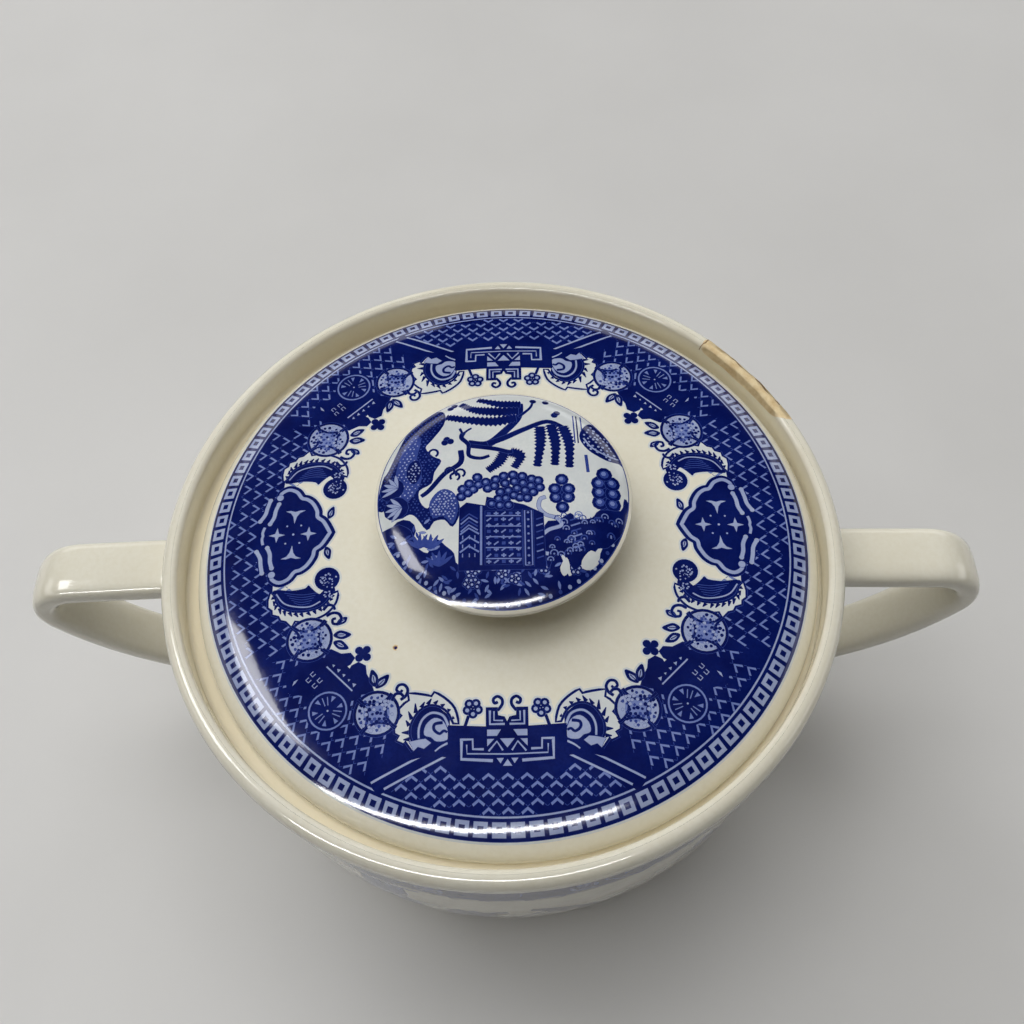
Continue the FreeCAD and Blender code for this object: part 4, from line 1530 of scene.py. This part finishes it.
def inside_profile():
    """Ledge, inside of the wall and floor."""
    ledge = rounded([(LEDGE_EDGE, LEDGE_TOP, 0), (LEDGE_BORE, LEDGE_TOP, 0.6), (LEDGE_BORE, 67.5, 1.2),
                     (50.0, 63.0, 3.0), (50.0, SHOULDER_HEIGHT, 0)])
    wall = bow(LONG_R, LONG_Z, BELLY_CURVE - WALL, 0, MEET, 5, hollow=True)
    turn = bow(TURN_R, TURN_Z, TURN_CURVE - WALL, MEET, TURN_END, 8, hollow=True)
    floor = rounded([(34.19, 8.44, 0), (20.0, 7.66, 60), (10.0, 7.35, 60), (0.02, 7.24, 0)])
    return joined(ledge, wall, turn[:-1], floor[1:])


def chip_outline():
    """Edge of the chip, as degrees round the rim and distance over the bead."""
    upper = [(45.9, 8.0), (45.4, 9.2), (43.0, 9.6), (40.0, 9.5), (36.5, 9.8), (32.5, 9.6), (28.0, 9.4),
             (25.8, 9.0), (24.6, 8.2)]
    lower = [(23.4, 7.2), (22.8, 6.2), (23.4, 5.2), (25.5, 4.7), (29.0, 4.4), (33.0, 4.6), (36.0, 4.3),
             (39.5, 4.5), (43.0, 4.6), (45.3, 5.2), (46.2, 6.6)]
    return [(a * RIM_STEP, t) for a, t in curve(upper + lower, closed=True, per=4)]


def edge_distance(points, u, v):
    """Distance from a place to an outline, negative outside."""
    best = 1e9
    here = Vector((u, v))
    for a, b in zip(points, points[1:] + points[:1]):
        a, b = Vector(a), Vector(b)
        t = max(0.0, min(1.0, (here - a).dot(b - a) / (b - a).length_squared))
        best = min(best, (here - a.lerp(b, t)).length)
    inside = inside_shape(points, np.array([u]), np.array([v]))[0]
    return best if inside else -best


def make_rim(skin):
    """Rim all round, with a drawn and dented sheet where the bead is chipped."""
    profile = rim_profile()
    way = [0.0]
    for a, b in zip(profile, profile[1:]):
        way.append(way[-1] + math.dist(a[:2], b[:2]))
    skin.revolve(profile, columns=[k for k in range(360) if not CHIP_FROM <= k < CHIP_TO])
    chip = chip_outline()

    def place(u, v):
        i = max(0, min(len(way) - 2, sum(1 for w in way if w <= v + 1e-5) - 1))
        t = (v - way[i]) / (way[i + 1] - way[i])
        r, z, nr, nz = (p + (q - p) * t for p, q in zip(profile[i], profile[i + 1]))
        a = math.radians(u / RIM_STEP)
        depth = edge_distance(chip, u, v)
        if depth > 0:
            wave = 0.08 * math.sin(u * 1.1) + 0.05 * math.sin(u * 2.7 + v * 1.9)
            deep = min(1.0, depth / CHIP_SLOPE)
            deep = deep * deep * (3 - 2 * deep) * (CHIP_DEPTH + wave)
            r, z = r - nr * deep, z - nz * deep
        c, s = math.cos(a), math.sin(a)
        return (r * c, r * s, z), (nr * c, nr * s, nz)

    columns = [k * RIM_STEP for k in range(CHIP_FROM, CHIP_TO + 1)]
    outline = frame_outline(columns, way)
    guides = [[(u, w) for u in columns] for w in way[1:-1]]
    guides += [[tuple(p) for p in grown(chip + chip[:1], -step)] for step in (0.25, 0.5, 0.8)]
    rng = random.Random(3)
    inside = [((a / 3 + rng.uniform(0, 0.3)) * RIM_STEP, 4.2 + 0.5 * k)
              for a in range(22 * 3, 47 * 3) for k in range(12)]
    shapes = []
    pen = Pen(shapes, bleeds=False)
    pen.fill(chip, CLAY)
    crack = [(46.0 * RIM_STEP, 4.9), (45.8 * RIM_STEP, 7.0), (46.3 * RIM_STEP, 9.3)]
    pen.stroke(crack, 0.28, STAIN, 0.5)
    brown_edge = [(a * RIM_STEP, 4.9 + 0.14 * (a % 3)) for a in range(27, 42, 2)]
    pen.sweep(brown_edge, 0.42, STAIN, 0.4)
    skin.sheet(*triangulate(shapes, outline, inside, guides), place)


def make_bowl(looks):
    """Bowl from the foot up, over the rim and down to the floor inside."""
    skin = Skin()
    skin.revolve(foot_profile())
    steps = 180
    columns = [HALF_TURN * k / steps for k in range(steps + 1)]
    rows = [PRINT_LOW + (PRINT_HIGH - PRINT_LOW) * k / 13 for k in range(14)]
    outline = frame_outline(columns, rows)
    guides = [[(u, v) for u in columns[::2]] for v in rows[1:-1]]
    guides += [[(u, PRINT_LOW), (u, PRINT_HIGH)] for u in columns[2:-2:2]]
    points, triangles = triangulate(side_print(), outline, [], guides)
    for turn in (0.0, HALF_TURN):
        skin.sheet([(u + turn, v) for u, v in points], triangles, side_place)
    make_rim(skin)
    skin.revolve(inside_profile())
    bowl = skin.build("bowl_glazed", looks)
    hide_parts("bowl_body")
    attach(bowl, "bowl")


# ---- handles ------------------------------------------------------------------------------
def strap_route():
    """Middle line of the strap as (x, z, heading), from inside the wall and back to it."""
    x, z, heading = 51.0, RIM_TOP - 9.6, math.radians(-3)
    route = [(x + d * math.cos(heading), z + d * math.sin(heading), heading)
             for d in np.linspace(0, 22, 23)]
    for radius, turn, steps in ((8.0, 109, 22), (50.0, 49, 40)):
        x, z, heading = route[-1]
        cx, cz = x + radius * math.sin(heading), z - radius * math.cos(heading)
        for k in range(1, steps + 1):
            h = heading - math.radians(turn) * k / steps
            route.append((cx - radius * math.sin(h), cz + radius * math.cos(h), h))
    return route


def wall_at(z):
    """Outside radius of the bowl at a height."""
    if z >= LONG_Z:
        return WALL_RADIUS
    if z >= PRINT_LOW:
        return LONG_R + math.sqrt(BELLY_CURVE ** 2 - (z - LONG_Z) ** 2)
    return TURN_R + math.sqrt(max(0.0, TURN_CURVE ** 2 - (z - TURN_Z) ** 2))


def make_handle(name, node, side, drop, looks):
    """Pressed strap: rounded section, narrower towards its lower end, luted on with a flare."""
    route = [(x, z - drop, h) for x, z, h in strap_route()]
    route = [(x, z, h) for i, (x, z, h) in enumerate(route) if i < 40 or x > wall_at(z) - 1.6]
    bm = bmesh.new()
    rings = []
    around = 36
    for i, (x, z, heading) in enumerate(route):
        along = i / (len(route) - 1)
        gap = x - wall_at(z) - 0.2
        flare = max(0.0, 1 - max(0.0, gap) / FLARE_REACH) ** 2
        taper = STRAP_HALF_WIDTH - 0.75 * max(0.0, along - 0.25) / 0.75
        half_w = taper * (1 + 0.02 * math.sin(5 * along)) + 1.1 * flare
        half_t = STRAP_HALF_THICKNESS - 0.12 * math.sin(7 * along) + 0.9 * flare
        section = []
        for k in range(around):
            a = TAU * k / around
            c, s = math.cos(a), math.sin(a)
            w = half_w * math.copysign(abs(c) ** STRAP_SQUARENESS, c)
            t = half_t * math.copysign(abs(s) ** STRAP_SQUARENESS, s)
            px = x - t * math.sin(heading)
            pz = z + t * math.cos(heading)
            section.append(bm.verts.new((side * px * MM, w * MM, pz * MM)))
        rings.append(section)
    for a, b in zip(rings, rings[1:]):
        for k in range(around):
            bm.faces.new((a[k], a[(k + 1) % around], b[(k + 1) % around], b[k]))
    bm.faces.new(rings[0][::-1])
    bm.faces.new(rings[-1])
    bmesh.ops.recalc_face_normals(bm, faces=bm.faces)
    for face in bm.faces:
        face.smooth = True
    mesh = bpy.data.meshes.new(name)
    bm.to_mesh(mesh)
    bm.free()
    mesh.materials.append(looks[GLAZE])
    piece = add_piece(name, mesh)
    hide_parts(node)
    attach(piece, "bowl")


# ---- floor and scene ----------------------------------------------------------------------
def make_floor():
    """Square tabletop, measured in metres from its middle."""
    mesh = bpy.data.meshes.new("floor")
    half = 0.9
    corners = [(-half, -half, 0), (half, -half, 0), (half, half, 0), (-half, half, 0)]
    mesh.from_pydata(corners, [], [(0, 1, 2, 3)])
    mesh.materials.append(floor_look())
    add_piece("floor", mesh)


make_camera()
make_light()
make_floor()
looks = make_looks()
make_lid(looks)
make_knob(looks)
make_bowl([glaze_look("bowl_glaze", seat_stain_and_light=True)] + looks[1:])
make_handle("handle_left_glazed", "handle_left", -1, 0.0, looks)
make_handle("handle_right_glazed", "handle_right", 1, 1.6, looks)
